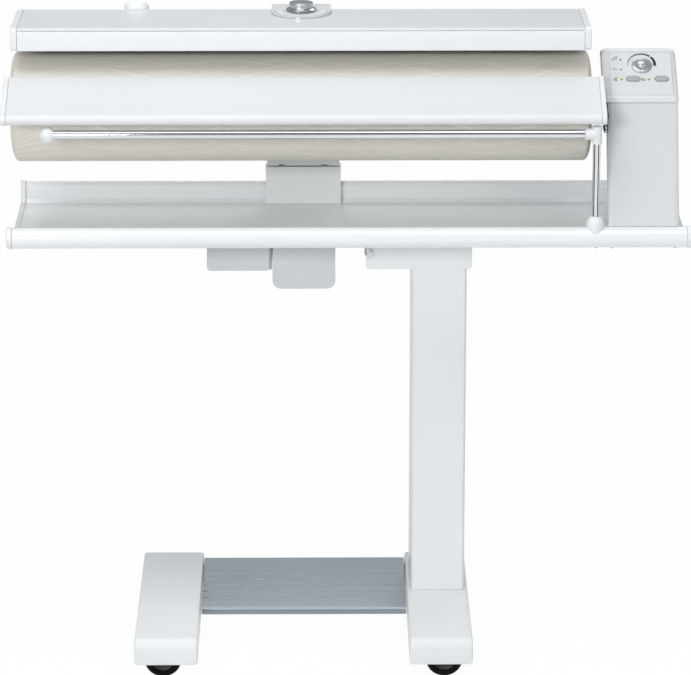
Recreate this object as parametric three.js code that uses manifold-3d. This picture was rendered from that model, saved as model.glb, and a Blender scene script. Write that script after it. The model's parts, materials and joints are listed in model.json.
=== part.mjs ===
// Household roller ironer on a folding pedestal: a padded roller turns under a heated, curved pressing
// shoe; the whole upper unit folds upright about a hinge beside the column.
// Millimetres. +Z up, X to the right, +Y away from the person who irons.
// Origin: on the floor, under the middle of the object's box.
import * as THREE from 'three';
import { mergeVertices } from 'three/addons/utils/BufferGeometryUtils.js';
import Module from 'manifold-3d';

const wasm = await Module();
wasm.setup();

// ---- Clearances -------------------------------------------------------------------------------
const SEAT_GAP = 0.3;
const RUN_CLEARANCE = 0.1;
const SLIDE_CLEARANCE = 0.3;
const PRESS_CLEARANCE = 0.8;

// ---- Feet and wheels --------------------------------------------------------------------------
const FOOT_LENGTH = 380;
const FOOT_WIDTH = 92;
const FOOT_TOP_Z = 63;
const FOOT_BOTTOM_Z = 24;
const FOOT_WALL = 3;
const FOOT_END_RADIUS = 14;
const FOOT_EDGE_RADIUS = 4;
const LEFT_FOOT_X = -266.2;
const RIGHT_FOOT_X = 134.9;
const WHEEL_RADIUS = 27;
const WHEEL_WIDTH = 20;
const WHEEL_TREAD_RADIUS = 3;
const WHEEL_END_INSET = 26;
const WHEEL_SIDE_OFFSET = 5;
const WHEEL_STUB_RADIUS = 3;
const WHEEL_WEB_THICKNESS = 3;
const WHEEL_WEB_WIDTH = 24;

// ---- Treadle and crossbar ---------------------------------------------------------------------
const CROSSBAR_DEPTH = 35;
const CROSSBAR_HEIGHT = 20;
const CROSSBAR_FRONT_Y = 150;
const CROSSBAR_WALL = 2.5;
const TREADLE_AXLE_Y = 152;
const TREADLE_AXLE_Z = 50;
const TREADLE_AXLE_RADIUS = 3;
const TREADLE_BACK_Y = 163;
const TREADLE_BACK_Z = 60;
const TREADLE_NOSE_Y = 0;
const TREADLE_NOSE_Z = 43.5;
const TREADLE_NOSE_RADIUS = 6.5;
const TREADLE_THICKNESS = 3.5;
const TREADLE_SIDE_GAP = 1.2;
const TREADLE_BARREL_RADIUS = 5;
const TREADLE_BARREL_LENGTH = 40;
const TREADLE_RIB_COUNT = 5;
const TREADLE_RIB_PITCH = 20;
const TREADLE_RIB_FIRST_Y = 28;
const TREADLE_RIB_WIDTH = 2.4;
const TREADLE_RIB_DEPTH = 1.2;

// ---- Column, head bracket and fold hinge --------------------------------------------------------
const COLUMN_WIDTH = 80.5;
const COLUMN_DEPTH = 130;
const COLUMN_FRONT_Y = 15;
const COLUMN_HEIGHT = 503.4;
const COLUMN_WALL = 2.5;
const COLUMN_CORNER_RADIUS = 6;
const HEAD_HEIGHT = 50.5;
const HEAD_WALL = 3;
const HEAD_OVERLAP = 4;
const HEAD_CORNER_RADIUS = 4;
const HINGE_REACH = 102;
const HINGE_RISE = 24;
const HINGE_EDGE = 6;
const FOLD_PIN_RADIUS = 5;
const FOLD_PIN_HEAD_RADIUS = 6.5;
const FOLD_PIN_HEAD_LENGTH = 2;
const YOKE_THICKNESS = 3.7;
const YOKE_EAR_THICKNESS = 4;
const YOKE_EAR_RADIUS = 8;
const REST_PAD_HEIGHT = 1.2;
const REST_PAD_WIDTH = 10;

// ---- Laundry tray -----------------------------------------------------------------------------
const TRAY_LEFT_MARGIN = 2.5;
const TRAY_RIGHT_MARGIN = 18.5;
const TRAY_CAP_THICKNESS = 8;
const TRAY_CAP_PROUD = 0.9;
const TRAY_SHEET = 3.6;
const NOSE_Y = -108;
const NOSE_RADIUS = 15;
const NOSE_RISE = 26;
const NOSE_WALL = 3;
const LIP_FRONT_Y = 169;
const LIP_BACK_Y = 184;
const LIP_HEIGHT = 34;
const LIP_ROUND = 11;

// ---- Covers under the tray ----------------------------------------------------------------------
const UNDER_COVER_WALL = 2;
const UNDER_COVER_FRONT_Y = 8;
const UNDER_COVER_BACK_Y = 150;
const LIFT_COVER_LEFT_X = -110;
const LIFT_COVER_RIGHT_X = -18;
const LIFT_COVER_DROP = 84.5;
const LIFT_COVER_RADIUS = 12;
const BOARD_COVER_LEFT_X = -206;
const BOARD_COVER_RIGHT_X = -114.5;
const BOARD_COVER_DROP = 57;
const BOARD_COVER_RADIUS = 5;
const BOARD_COVER_NECK = 3.5;
const BOARD_COVER_NECK_INSET = 5;
const BOARD_LENGTH = 70;
const BOARD_WIDTH = 96;
const BOARD_RISE = 5;
const BOARD_THICKNESS = 2;
const BOARD_MARGIN = 16;
const BOARD_RAIL_WIDTH = 6;
const BOARD_RAIL_INSET = 4;
const RELAY_LENGTH = 28;
const RELAY_WIDTH = 26;
const RELAY_HEIGHT = 21;
const COIL_LENGTH = 16;
const COIL_WIDTH = 32;
const COIL_HEIGHT = 13;
const ACTUATOR_LENGTH = 68;
const ACTUATOR_DEPTH = 90;
const ACTUATOR_MARGIN = 14;
const ACTUATOR_HEAD = 14;
const PLUNGER_DROP = 22;
const PLUNGER_RADIUS = 5;
const PLUNGER_HOLE_GAP = 2;
const TAIL_GAP = 2.5;
const TAIL_THICKNESS = 3.5;
const TAIL_WIDTH = 48;

// ---- Roller -----------------------------------------------------------------------------------
const ROLLER_RADIUS = 80;
const ROLLER_LEFT_X = -485.5;
const ROLLER_RIGHT_X = 351.5;
const ROLLER_Y = 33;
const ROLLER_RISE = 185.5;
const SHOULDER_LENGTH = 9.5;
const SHOULDER_DROP = 23;
const CLOTH_THICKNESS = 1.5;
const CLOTH_MOUTH_RADIUS = 50;
const PADDING_THICKNESS = 7;
const CORE_WALL = 2;
const CORE_END_INSET = 4;
const SHAFT_RADIUS = 12;

// ---- Pressing head ------------------------------------------------------------------------------
const LIFT_ANGLE_DEG = 4;
const LIFT_PIVOT_Y = 178;
const LIFT_PIVOT_RISE = 73;
const LIFT_PIN_RADIUS = 4;
const SHOE_THICKNESS = 10;
const SHOE_FROM_DEG = -5;
const SHOE_TO_DEG = 108;
const HEATER_ROD_RADIUS = 4;
const HEATER_ANGLE_DEG = 94;
const HEATER_SPREAD_DEG = 10;
const FAIRING_HEIGHT = 59.5;
const ARM_LEFT_X = -119;
const ARM_RIGHT_X = -11;
const EAR_WIDTH = 10;
const EAR_INSET = 17;
const ARM_ROOT_DEPTH = 21.5;
const ARM_ROOT_PROUD = 5.5;
const ARM_SKIN = 4;
const ARM_NOTCH_HEIGHT = 2;
const COVER_END_INSET = 3.5;
const COVER_CAP_THICKNESS = 9.5;
const COVER_CAP_PROUD = 0.8;
const COVER_SHEET = 2;
const COVER_FRONT_Y = -33;
const COVER_TOP_RISE = 129;
const COVER_BOTTOM_RISE = 96.2;
const COVER_RIDGE_SETBACK = 70;
const COVER_RIDGE_DROP = 4;
const COVER_BACK_ROOM = 25;
const COVER_SKIRT_RISE = 25;
const COVER_BACK_FLAT = 18;
const COVER_CAP_INNER_RADIUS = 100;
const GUARD_HEIGHT = 27;
const GUARD_THICKNESS = 2.6;
const GUARD_PIN_RADIUS = 1.4;
const GUARD_BOW = 0.8;
const GUARD_FACE_STEPS = 8;
const TANK_LEFT_X = -400;
const TANK_RIGHT_X = -200;
const TANK_WALL = 2;
const TANK_BACK_SETBACK = 7;
const TANK_ROOF_GAP = 3;
const FILLER_X = -308;
const FILLER_Y = 126;
const FILLER_TILT_DEG = 25;
const FILLER_RADIUS = 18.5;
const FILLER_HEIGHT = 13;
const FILLER_NECK_RADIUS = 11;
const FILLER_SINK = 7.5;
const FILLER_OPENING_GAP = 1;
const DIAL_RADIUS = 43;
const DIAL_Y = 81;
const DIAL_BACK_Y = 118;
const STEAM_SKIRT_RADIUS = 22;
const STEAM_KNOB_RADIUS = 17.7;
const STEAM_KNOB_HEIGHT = 10;
const STEAM_SPINDLE_RADIUS = 4;

// ---- Tower and control head -----------------------------------------------------------------------
const TOWER_GAP = 19;
const TOWER_WIDTH = 103;
const TOWER_WALL = 3;
const TOWER_EDGE_RADIUS = 7;
const TOWER_TAPER_DEG = 4.6;
const TOWER_SEAM_RISE = 22.5;
const TOWER_SEAM_FRONT_Y = -42;
const TOWER_SEAM_BACK_Y = 128;
const TOWER_BACK_Y = 165;
const CONTROL_LEFT_OVERHANG = 5;
const CONTROL_RIGHT_OVERHANG = 1;
const CONTROL_EDGE_RADIUS = 8;
const CONTROL_SEAM_FRONT_Y = -43.5;
const CONTROL_FRONT_LEAN = 0.6;
const CONTROL_TAPER_DEG = 7;
const CONTROL_ROOF_FALL_DEG = 17;
const PANEL_TILT_DEG = 35;
const PANEL_LENGTH = 88;
const PANEL_START_Y = -39;
const PANEL_START_RISE = 7.4;
const FASCIA_LEFT_MARGIN = 12;
const FASCIA_RIGHT_MARGIN = 8;
const FASCIA_FROM = 4;
const FASCIA_TO = 84;
const FASCIA_THICKNESS = 1.2;
const FASCIA_RADIUS = 4;
const KNOB_INSET = 46.5;
const KNOB_S = 59;
const KNOB_SKIRT_RADIUS = 14.6;
const KNOB_CAP_RADIUS = 10.5;
const KNOB_HEIGHT = 11;
const KNOB_SPINDLE_RADIUS = 3;
const BUTTON_LEFT_INSET = 32.7;
const BUTTON_PITCH = 41.2;
const BUTTON_S = 33.3;
const BUTTON_WIDTH = 20;
const BUTTON_HEIGHT = 9.5;
const BUTTON_PROUD = 2.6;
const BUTTON_FLANGE = 1.5;
const BUTTON_TRAVEL = 2;

// ---- Drive ------------------------------------------------------------------------------------
const BEARING_RADIUS = 18.5;
const BEARING_LENGTH = 14;
const PULLEY_INSET = 33.5;
const PULLEY_WIDTH = 13;
const ROLLER_PULLEY_RADIUS = 38;
const MOTOR_PULLEY_RADIUS = 14;
const MOTOR_RISE = 77;
const MOTOR_RADIUS = 34;
const MOTOR_STAND_LENGTH = 40;
const MOTOR_STAND_WIDTH = 52;
const MOTOR_LENGTH = 44;
const MOTOR_PULLEY_GAP = 6;
const MOTOR_SHAFT_RADIUS = 5;
const BELT_THICKNESS = 3;
const BELT_SIDE_INSET = 1;
const GLAND_RADIUS = 7;
const GLAND_RISE = 52;

// ---- Feed plate and laundry rail ----------------------------------------------------------------
const FEED_LEFT_OVERHANG = 6.5;
const FEED_TOWER_GAP = 4;
const FEED_CAP_THICKNESS = 7;
const FEED_BACK_Y = -33;
const FEED_BACK_RISE = 58;
const FEED_LIP_Y = -110;
const FEED_LIP_RISE = 23;
const FEED_LIP_RADIUS = 8;
const FEED_SHEET = 3;
const FEED_BRACKET_THICKNESS = 3;
const RAIL_POST_INSET = 17.7;
const RAIL_DROP = 7.5;
const RAIL_ROD_RADIUS = 6.5;
const RAIL_POST_RADIUS = 5.5;
const RAIL_LENGTH = 779.5;
const RAIL_BALL_RADIUS = 11.5;
const RAIL_SOCKET_RADIUS = 8.6;
const RAIL_SLEEVE_RADIUS = 7.3;
const RAIL_SOCKET_LENGTH = 17;
const RAIL_BASE_RADIUS = 13;
const RAIL_BASE_RISE = 17;

// ---- Places that follow from the sizes ------------------------------------------------------------
const columnX = RIGHT_FOOT_X;
const columnTopZ = FOOT_TOP_Z + SEAT_GAP + COLUMN_HEIGHT;
const headBottomZ = columnTopZ + SEAT_GAP;
const headTopZ = headBottomZ + HEAD_HEIGHT;
const headRightX = columnX + COLUMN_WIDTH / 2 + HEAD_OVERLAP + HEAD_WALL;
const headFrontY = COLUMN_FRONT_Y - HEAD_OVERLAP;
const headBackY = COLUMN_FRONT_Y + COLUMN_DEPTH + HEAD_OVERLAP;
const hingeX = columnX - HINGE_REACH;
const hingeZ = headBottomZ + HINGE_RISE;
const yokeBottomZ = headTopZ + SEAT_GAP + REST_PAD_HEIGHT;
const trayUnderZ = yokeBottomZ + YOKE_THICKNESS + SEAT_GAP;
const trayFloorZ = trayUnderZ + TRAY_SHEET;
const noseZ = trayUnderZ + NOSE_RISE;
const lipTopZ = trayUnderZ + LIP_HEIGHT;
const rollerZ = trayUnderZ + ROLLER_RISE;
const pivotZ = trayUnderZ + LIFT_PIVOT_RISE;
const coreRadius = ROLLER_RADIUS - CLOTH_THICKNESS - PADDING_THICKNESS - 2 * SEAT_GAP;
const shoeRadius = ROLLER_RADIUS + PRESS_CLEARANCE;
const shoeBackRadius = shoeRadius + SHOE_THICKNESS;
const coverTopZ = rollerZ + COVER_TOP_RISE;
const coverBottomZ = rollerZ + COVER_BOTTOM_RISE;
const seamZ = rollerZ + TOWER_SEAM_RISE;
const panelStartZ = seamZ + PANEL_START_RISE;
const motorZ = trayUnderZ + MOTOR_RISE;
const towerLeftX = ROLLER_RIGHT_X + TOWER_GAP;
const towerRightX = towerLeftX + TOWER_WIDTH;
const trayLeftX = ROLLER_LEFT_X - TRAY_LEFT_MARGIN;
const trayRightX = towerRightX + TRAY_RIGHT_MARGIN;
const controlLeftX = towerLeftX - CONTROL_LEFT_OVERHANG;
const controlRightX = towerRightX + CONTROL_RIGHT_OVERHANG;
const fasciaLeftX = controlLeftX + FASCIA_LEFT_MARGIN;
const fasciaRightX = controlRightX - FASCIA_RIGHT_MARGIN;
const knobX = fasciaLeftX + KNOB_INSET;
const buttonLeftX = fasciaLeftX + BUTTON_LEFT_INSET;
const buttonRightX = buttonLeftX + BUTTON_PITCH;
const pulleyLeftX = towerRightX - PULLEY_INSET;
const motorRightX = pulleyLeftX - MOTOR_PULLEY_GAP;
const motorLeftX = motorRightX - MOTOR_LENGTH;
const feedLeftX = ROLLER_LEFT_X - FEED_LEFT_OVERHANG;
const feedRightX = towerLeftX - FEED_TOWER_GAP;
const railX = towerLeftX - RAIL_POST_INSET;
const railBallX = railX - RAIL_LENGTH;
const railZ = rollerZ - RAIL_DROP;

const radians = THREE.MathUtils.degToRad;

// ---- Outline helpers: a point is [a, b] in the plane that is extruded -------------------------------
function arc(centreA, centreB, radiusA, fromDeg, toDeg, steps, radiusB = radiusA) {
  const points = [];
  for (let i = 0; i <= steps; i += 1) {
    const angle = radians(fromDeg + ((toDeg - fromDeg) * i) / steps);
    points.push([centreA + radiusA * Math.cos(angle), centreB + radiusB * Math.sin(angle)]);
  }
  return points;
}

function roundedRectangle(a0, a1, b0, b1, radius, steps = 3) {
  return [
    ...arc(a1 - radius, b0 + radius, radius, -90, 0, steps),
    ...arc(a1 - radius, b1 - radius, radius, 0, 90, steps),
    ...arc(a0 + radius, b1 - radius, radius, 90, 180, steps),
    ...arc(a0 + radius, b0 + radius, radius, 180, 270, steps),
  ];
}

function edgeOffset(from, to, distance) {
  const length = Math.hypot(to[0] - from[0], to[1] - from[1]);
  const shiftA = (-(to[1] - from[1]) / length) * distance;
  const shiftB = ((to[0] - from[0]) / length) * distance;
  return [[from[0] + shiftA, from[1] + shiftB], [to[0] + shiftA, to[1] + shiftB]];
}

function crossing([p, q], [r, s]) {
  const a = q[0] - p[0];
  const b = q[1] - p[1];
  const c = s[0] - r[0];
  const d = s[1] - r[1];
  const cross = a * d - b * c;
  if (Math.abs(cross) < 1e-9) return q;
  const t = ((r[0] - p[0]) * d - (r[1] - p[1]) * c) / cross;
  return [p[0] + a * t, p[1] + b * t];
}

// Moves every side of a counter-clockwise closed outline inwards by the wall.
function inset(outline, wall) {
  const count = outline.length;
  const sides = outline.map((point, i) => edgeOffset(point, outline[(i + 1) % count], wall));
  return sides.map((side, i) => crossing(sides[(i + count - 1) % count], side));
}

// Gives an open line of points a thickness on its left-hand side.
function ribbon(line, thickness) {
  const sides = line.slice(1).map((point, i) => edgeOffset(line[i], point, thickness));
  const inner = [sides[0][0]];
  for (let i = 1; i < sides.length; i += 1) inner.push(crossing(sides[i - 1], sides[i]));
  inner.push(sides[sides.length - 1][1]);
  return [...line, ...inner.reverse()];
}

// Rounds the corners of a closed outline: a corner is [a, b, reach] and the reach is cut from both sides.
function softened(corners, steps = 3) {
  const count = corners.length;
  return corners.flatMap(([a, b, reach = 0], i) => {
    if (reach === 0) return [[a, b]];
    const corner = new THREE.Vector2(a, b);
    const [before, after] = [corners[(i + count - 1) % count], corners[(i + 1) % count]].map(
      ([c, d]) => new THREE.Vector2(c, d).sub(corner).setLength(reach).add(corner),
    );
    const curve = new THREE.QuadraticBezierCurve(before, corner, after);
    return curve.getPoints(steps).map(({ x, y }) => [x, y]);
  });
}

function shapeOf(outline, holes = []) {
  const shape = new THREE.Shape(outline.map(([a, b]) => new THREE.Vector2(a, b)));
  shape.holes = holes.map((hole) => new THREE.Path(hole.map(([a, b]) => new THREE.Vector2(a, b))));
  return shape;
}

function extrude(outline, length, edge = 0, holes = []) {
  const settings = { depth: length - 2 * edge, bevelEnabled: edge > 0, curveSegments: 6 };
  Object.assign(settings, { bevelThickness: edge, bevelSize: edge, bevelOffset: -edge, bevelSegments: 2 });
  return new THREE.ExtrudeGeometry(shapeOf(outline, holes), settings).translate(0, 0, edge);
}

const axisX = new THREE.Vector3(1, 0, 0);
const axisY = new THREE.Vector3(0, 1, 0);
const axisZ = new THREE.Vector3(0, 0, 1);
const standAlongX = new THREE.Matrix4().makeBasis(axisY, axisZ, axisX);
const standAlongY = new THREE.Matrix4().makeBasis(axisX, axisZ, axisY.clone().negate());

// An outline of [y, z] points drawn out from x0 to x1.
function alongX(outline, x0, x1, edge = 0, holes = []) {
  return extrude(outline, x1 - x0, edge, holes).applyMatrix4(standAlongX).translate(x0, 0, 0);
}

// An outline of [x, z] points drawn out from y0 to y1.
function alongY(outline, y0, y1, edge = 0) {
  return extrude(outline, y1 - y0, edge).applyMatrix4(standAlongY).translate(0, y1, 0);
}

// An outline of [x, y] points drawn out from z0 to z1.
function alongZ(outline, z0, z1, edge = 0) {
  return extrude(outline, z1 - z0, edge).translate(0, 0, z0);
}

function box(x0, x1, y0, y1, z0, z1) {
  const block = new THREE.BoxGeometry(x1 - x0, y1 - y0, z1 - z0);
  return block.translate((x0 + x1) / 2, (y0 + y1) / 2, (z0 + z1) / 2);
}

function rodX(radius, x0, x1, y, z, segments = 24) {
  const rod = new THREE.CylinderGeometry(radius, radius, x1 - x0, segments);
  return rod.rotateZ(Math.PI / 2).translate((x0 + x1) / 2, y, z);
}

function rodY(radius, y0, y1, x, z, segments = 24) {
  return new THREE.CylinderGeometry(radius, radius, y1 - y0, segments).translate(x, (y0 + y1) / 2, z);
}

function rodZ(radius, z0, z1, x, y, segments = 24) {
  const rod = new THREE.CylinderGeometry(radius, radius, z1 - z0, segments);
  return rod.rotateX(Math.PI / 2).translate(x, y, (z0 + z1) / 2);
}

// ---- Solids -----------------------------------------------------------------------------------
function mergedTriangles(geometry) {
  const bare = geometry.clone();
  bare.deleteAttribute('normal');
  bare.deleteAttribute('uv');
  const merged = mergeVertices(bare, 1e-4);
  const kept = [];
  const index = merged.index.array;
  for (let i = 0; i < index.length; i += 3) {
    const [a, b, c] = [index[i], index[i + 1], index[i + 2]];
    if (a !== b && b !== c && a !== c) kept.push(a, b, c);
  }
  return { positions: merged.attributes.position.array, triangles: kept };
}

function signedVolume(positions, triangles) {
  const [p, q, r] = [new THREE.Vector3(), new THREE.Vector3(), new THREE.Vector3()];
  let volume = 0;
  for (let i = 0; i < triangles.length; i += 3) {
    p.fromArray(positions, triangles[i] * 3);
    q.fromArray(positions, triangles[i + 1] * 3);
    r.fromArray(positions, triangles[i + 2] * 3);
    volume += p.dot(q.cross(r)) / 6;
  }
  return volume;
}

function solid(geometry) {
  const { positions, triangles } = mergedTriangles(geometry);
  if (signedVolume(positions, triangles) < 0) triangles.reverse();
  const mesh = new wasm.Mesh({
    numProp: 3,
    vertProperties: new Float32Array(positions),
    triVerts: new Uint32Array(triangles),
  });
  return new wasm.Manifold(mesh);
}

function surface(body) {
  const mesh = body.getMesh();
  const geometry = new THREE.BufferGeometry();
  geometry.setAttribute('position', new THREE.BufferAttribute(mesh.vertProperties, 3));
  geometry.setIndex(new THREE.BufferAttribute(mesh.triVerts, 1));
  return geometry;
}

function join(...geometries) {
  return surface(geometries.map(solid).reduce((whole, piece) => whole.add(piece)));
}

function cut(geometry, ...tools) {
  return surface(tools.map(solid).reduce((whole, tool) => whole.subtract(tool), solid(geometry)));
}

function common(first, second) {
  return surface(solid(first).intersect(solid(second)));
}

// A large block beyond the plane that runs through the point and along both directions.
function blockBeyond(point, along, back, outward) {
  const size = FOOT_LENGTH + ROLLER_RADIUS;
  const normal = along.clone().cross(back).normalize();
  if (normal.x * outward < 0) normal.negate();
  const first = along.clone().normalize();
  const basis = new THREE.Matrix4().makeBasis(first, normal.clone().cross(first), normal);
  return new THREE.BoxGeometry(2 * size, 2 * size, size)
    .translate(0, 0, size / 2)
    .applyMatrix4(basis.setPosition(point));
}

// A turned piece: a profile of [radius, along] points about Y, stood along the chosen axis.
function turned(profile, axis, segments) {
  const lathe = new THREE.LatheGeometry(profile.map(([r, h]) => new THREE.Vector2(r, h)), segments);
  if (axis === 'x') lathe.rotateZ(-Math.PI / 2);
  if (axis === 'z') lathe.rotateX(Math.PI / 2);
  return surface(solid(lathe));
}

function closedLoop(profile) {
  return [...profile, profile[0]];
}

// ---- Finishes -----------------------------------------------------------------------------------
const FINISHES = {
  white: [0xe9ebec, 0.38, 0.0],
  greyWhite: [0xd6dadc, 0.42, 0.0],
  cloth: [0xc4bca6, 0.9, 0.0],
  felt: [0xb9b2a2, 0.95, 0.0],
  chrome: [0xd8dade, 0.12, 1.0],
  silver: [0xa9adb4, 0.35, 0.6],
  aluminium: [0x9aa2ab, 0.4, 0.9],
  steel: [0x8f949a, 0.35, 0.95],
  rubber: [0x17181a, 0.75, 0.0],
  darkPlastic: [0x3a3d42, 0.6, 0.0],
  board: [0x2f6b3f, 0.6, 0.0],
  tank: [0xcfd6da, 0.3, 0.0],
};

const ironer = new THREE.Group();

function addPiece(name, geometry, finish, parent = ironer) {
  const [color, roughness, metalness] = FINISHES[finish];
  const piece = new THREE.Mesh(geometry, new THREE.MeshStandardMaterial({ color, roughness, metalness }));
  piece.name = name;
  parent.add(piece);
  return piece;
}

// ---- Feet, wheels and crossbar --------------------------------------------------------------------
const footEndY = FOOT_LENGTH / 2;
const wheelY = footEndY - WHEEL_END_INSET;
const footSideX = FOOT_WIDTH / 2;
const webOffset = WHEEL_WIDTH / 2 + 1.5;
const crossbarTopZ = TREADLE_AXLE_Z - TREADLE_BARREL_RADIUS - 2;
const footHalves = [
  { side: 'left', x: LEFT_FOOT_X, outward: -1 },
  { side: 'right', x: RIGHT_FOOT_X, outward: 1 },
];

function footShell(outward) {
  const outline = [
    ...arc(footEndY - FOOT_EDGE_RADIUS, FOOT_BOTTOM_Z + FOOT_EDGE_RADIUS, FOOT_EDGE_RADIUS, -90, 0, 2),
    ...arc(footEndY - FOOT_END_RADIUS, FOOT_TOP_Z - FOOT_END_RADIUS, FOOT_END_RADIUS, 0, 90, 4),
    ...arc(-footEndY + FOOT_END_RADIUS, FOOT_TOP_Z - FOOT_END_RADIUS, FOOT_END_RADIUS, 90, 180, 4),
    ...arc(-footEndY + FOOT_EDGE_RADIUS, FOOT_BOTTOM_Z + FOOT_EDGE_RADIUS, FOOT_EDGE_RADIUS, 180, 270, 2),
  ];
  const hollow = inset(outline, FOOT_WALL);
  const hollowSideX = footSideX - FOOT_WALL;
  const inside = alongX(hollow, -hollowSideX, hollowSideX);
  const shell = cut(
    alongX(outline, -footSideX, footSideX, FOOT_EDGE_RADIUS),
    inside,
    inside.clone().translate(0, 0, -2 * FOOT_WALL),
  );
  const webs = [];
  const stubHoles = [];
  const wheelX = outward * WHEEL_SIDE_OFFSET;
  for (const end of [-1, 1]) {
    for (const face of [-1, 1]) {
      const near = end * wheelY + face * webOffset;
      const far = near + face * WHEEL_WEB_THICKNESS;
      const [y0, y1] = [Math.min(near, far), Math.max(near, far)];
      const left = wheelX - WHEEL_WEB_WIDTH / 2;
      const right = wheelX + WHEEL_WEB_WIDTH / 2;
      webs.push(box(left, right, y0, y1, WHEEL_RADIUS - 5.5, FOOT_TOP_Z - FOOT_WALL / 2));
      const hole = WHEEL_STUB_RADIUS + SLIDE_CLEARANCE;
      stubHoles.push(rodY(hole, y0 - 1, y1 + 1, wheelX, WHEEL_RADIUS));
    }
  }
  const axleHole = TREADLE_AXLE_RADIUS + SEAT_GAP;
  const innerWallX = -outward * footSideX;
  const axleBore = rodX(axleHole, innerWallX - 6, innerWallX + 6, TREADLE_AXLE_Y, TREADLE_AXLE_Z);
  return cut(join(shell, ...webs), ...stubHoles, axleBore);
}

function wheel() {
  const half = WHEEL_WIDTH / 2;
  const stubEnd = webOffset + WHEEL_WEB_THICKNESS;
  const face = WHEEL_RADIUS - WHEEL_TREAD_RADIUS;
  return turned([
    [0, -stubEnd],
    [WHEEL_STUB_RADIUS, -stubEnd],
    [WHEEL_STUB_RADIUS, -half],
    [face, -half],
    [WHEEL_RADIUS, WHEEL_TREAD_RADIUS - half],
    [WHEEL_RADIUS, half - WHEEL_TREAD_RADIUS],
    [face, half],
    [WHEEL_STUB_RADIUS, half],
    [WHEEL_STUB_RADIUS, stubEnd],
    [0, stubEnd],
  ], 'y', 24);
}

for (const { side, x, outward } of footHalves) {
  addPiece(`foot_${side}`, footShell(outward), 'white').position.x = x;
  for (const [place, sign] of [['front', -1], ['rear', 1]]) {
    const roller = addPiece(`wheel_${place}_${side}`, wheel(), 'rubber');
    roller.position.set(x + outward * WHEEL_SIDE_OFFSET, sign * wheelY, WHEEL_RADIUS);
  }
}

const gapLeftX = LEFT_FOOT_X + footSideX;
const gapRightX = RIGHT_FOOT_X - footSideX;

function crossbar() {
  const outer = roundedRectangle(
    CROSSBAR_FRONT_Y, CROSSBAR_FRONT_Y + CROSSBAR_DEPTH, crossbarTopZ - CROSSBAR_HEIGHT, crossbarTopZ, 4, 2,
  );
  return alongX(outer, gapLeftX + SEAT_GAP, gapRightX - SEAT_GAP, 0, [inset(outer, CROSSBAR_WALL)]);
}

addPiece('crossbar', crossbar(), 'white');

// ---- Treadle ------------------------------------------------------------------------------------
const treadleLeftX = gapLeftX + TREADLE_SIDE_GAP;
const treadleRightX = gapRightX - TREADLE_SIDE_GAP;

function treadleSurfaceZ(y) {
  const share = (y - TREADLE_NOSE_Y) / (TREADLE_BACK_Y - TREADLE_NOSE_Y);
  return TREADLE_NOSE_Z + share * (TREADLE_BACK_Z - TREADLE_NOSE_Z);
}

function treadlePlate() {
  const top = [];
  for (let i = 0; i < TREADLE_RIB_COUNT; i += 1) {
    const y = TREADLE_RIB_FIRST_Y + i * TREADLE_RIB_PITCH;
    top.push([y, treadleSurfaceZ(y)]);
    top.push([y + TREADLE_RIB_WIDTH / 4, treadleSurfaceZ(y) - TREADLE_RIB_DEPTH]);
    top.push([y + (TREADLE_RIB_WIDTH * 3) / 4, treadleSurfaceZ(y) - TREADLE_RIB_DEPTH]);
    top.push([y + TREADLE_RIB_WIDTH, treadleSurfaceZ(y + TREADLE_RIB_WIDTH)]);
  }
  const noseCentreZ = TREADLE_NOSE_Z - TREADLE_NOSE_RADIUS;
  const innerRadius = TREADLE_NOSE_RADIUS - TREADLE_THICKNESS;
  const outline = [
    [TREADLE_BACK_Y, TREADLE_BACK_Z - TREADLE_THICKNESS],
    [TREADLE_BACK_Y, TREADLE_BACK_Z],
    ...top.reverse(),
    ...arc(TREADLE_NOSE_Y, noseCentreZ, TREADLE_NOSE_RADIUS, 90, 270, 6),
    ...arc(TREADLE_NOSE_Y, noseCentreZ, innerRadius, 270, 90, 3),
  ];
  const plate = alongX(outline, treadleLeftX, treadleRightX);
  const barrels = [
    [treadleLeftX, treadleLeftX + TREADLE_BARREL_LENGTH],
    [treadleRightX - TREADLE_BARREL_LENGTH, treadleRightX],
  ].map(([x0, x1]) => join(
    rodX(TREADLE_BARREL_RADIUS, x0, x1, TREADLE_AXLE_Y, TREADLE_AXLE_Z),
    box(x0, x1, TREADLE_AXLE_Y - 4, TREADLE_AXLE_Y + 4, TREADLE_AXLE_Z, TREADLE_AXLE_Z + 6.5),
  ));
  const bore = TREADLE_AXLE_RADIUS + RUN_CLEARANCE;
  const axleBore = rodX(bore, treadleLeftX - 1, treadleRightX + 1, TREADLE_AXLE_Y, TREADLE_AXLE_Z);
  return cut(join(plate, ...barrels), axleBore);
}

function treadleAxle() {
  const reach = FOOT_WALL - SEAT_GAP;
  return rodX(TREADLE_AXLE_RADIUS, gapLeftX - reach, gapRightX + reach, TREADLE_AXLE_Y, TREADLE_AXLE_Z);
}

function treadleSpring() {
  const middleX = (treadleLeftX + treadleRightX) / 2;
  const inner = TREADLE_AXLE_RADIUS + SEAT_GAP;
  const outer = TREADLE_AXLE_RADIUS + 1.6;
  const coil = cut(
    rodX(outer, middleX - 30, middleX + 30, TREADLE_AXLE_Y, TREADLE_AXLE_Z, 16),
    rodX(inner, middleX - 31, middleX + 31, TREADLE_AXLE_Y, TREADLE_AXLE_Z, 16),
  );
  const leg = box(
    middleX - 2, middleX + 2, TREADLE_AXLE_Y + inner + 0.4, TREADLE_AXLE_Y + outer - 0.2,
    crossbarTopZ + SEAT_GAP, TREADLE_AXLE_Z,
  );
  return join(coil, leg);
}

addPiece('treadle_plate', treadlePlate(), 'aluminium');
addPiece('treadle_axle', treadleAxle(), 'steel');
addPiece('treadle_spring', treadleSpring(), 'steel');

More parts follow.
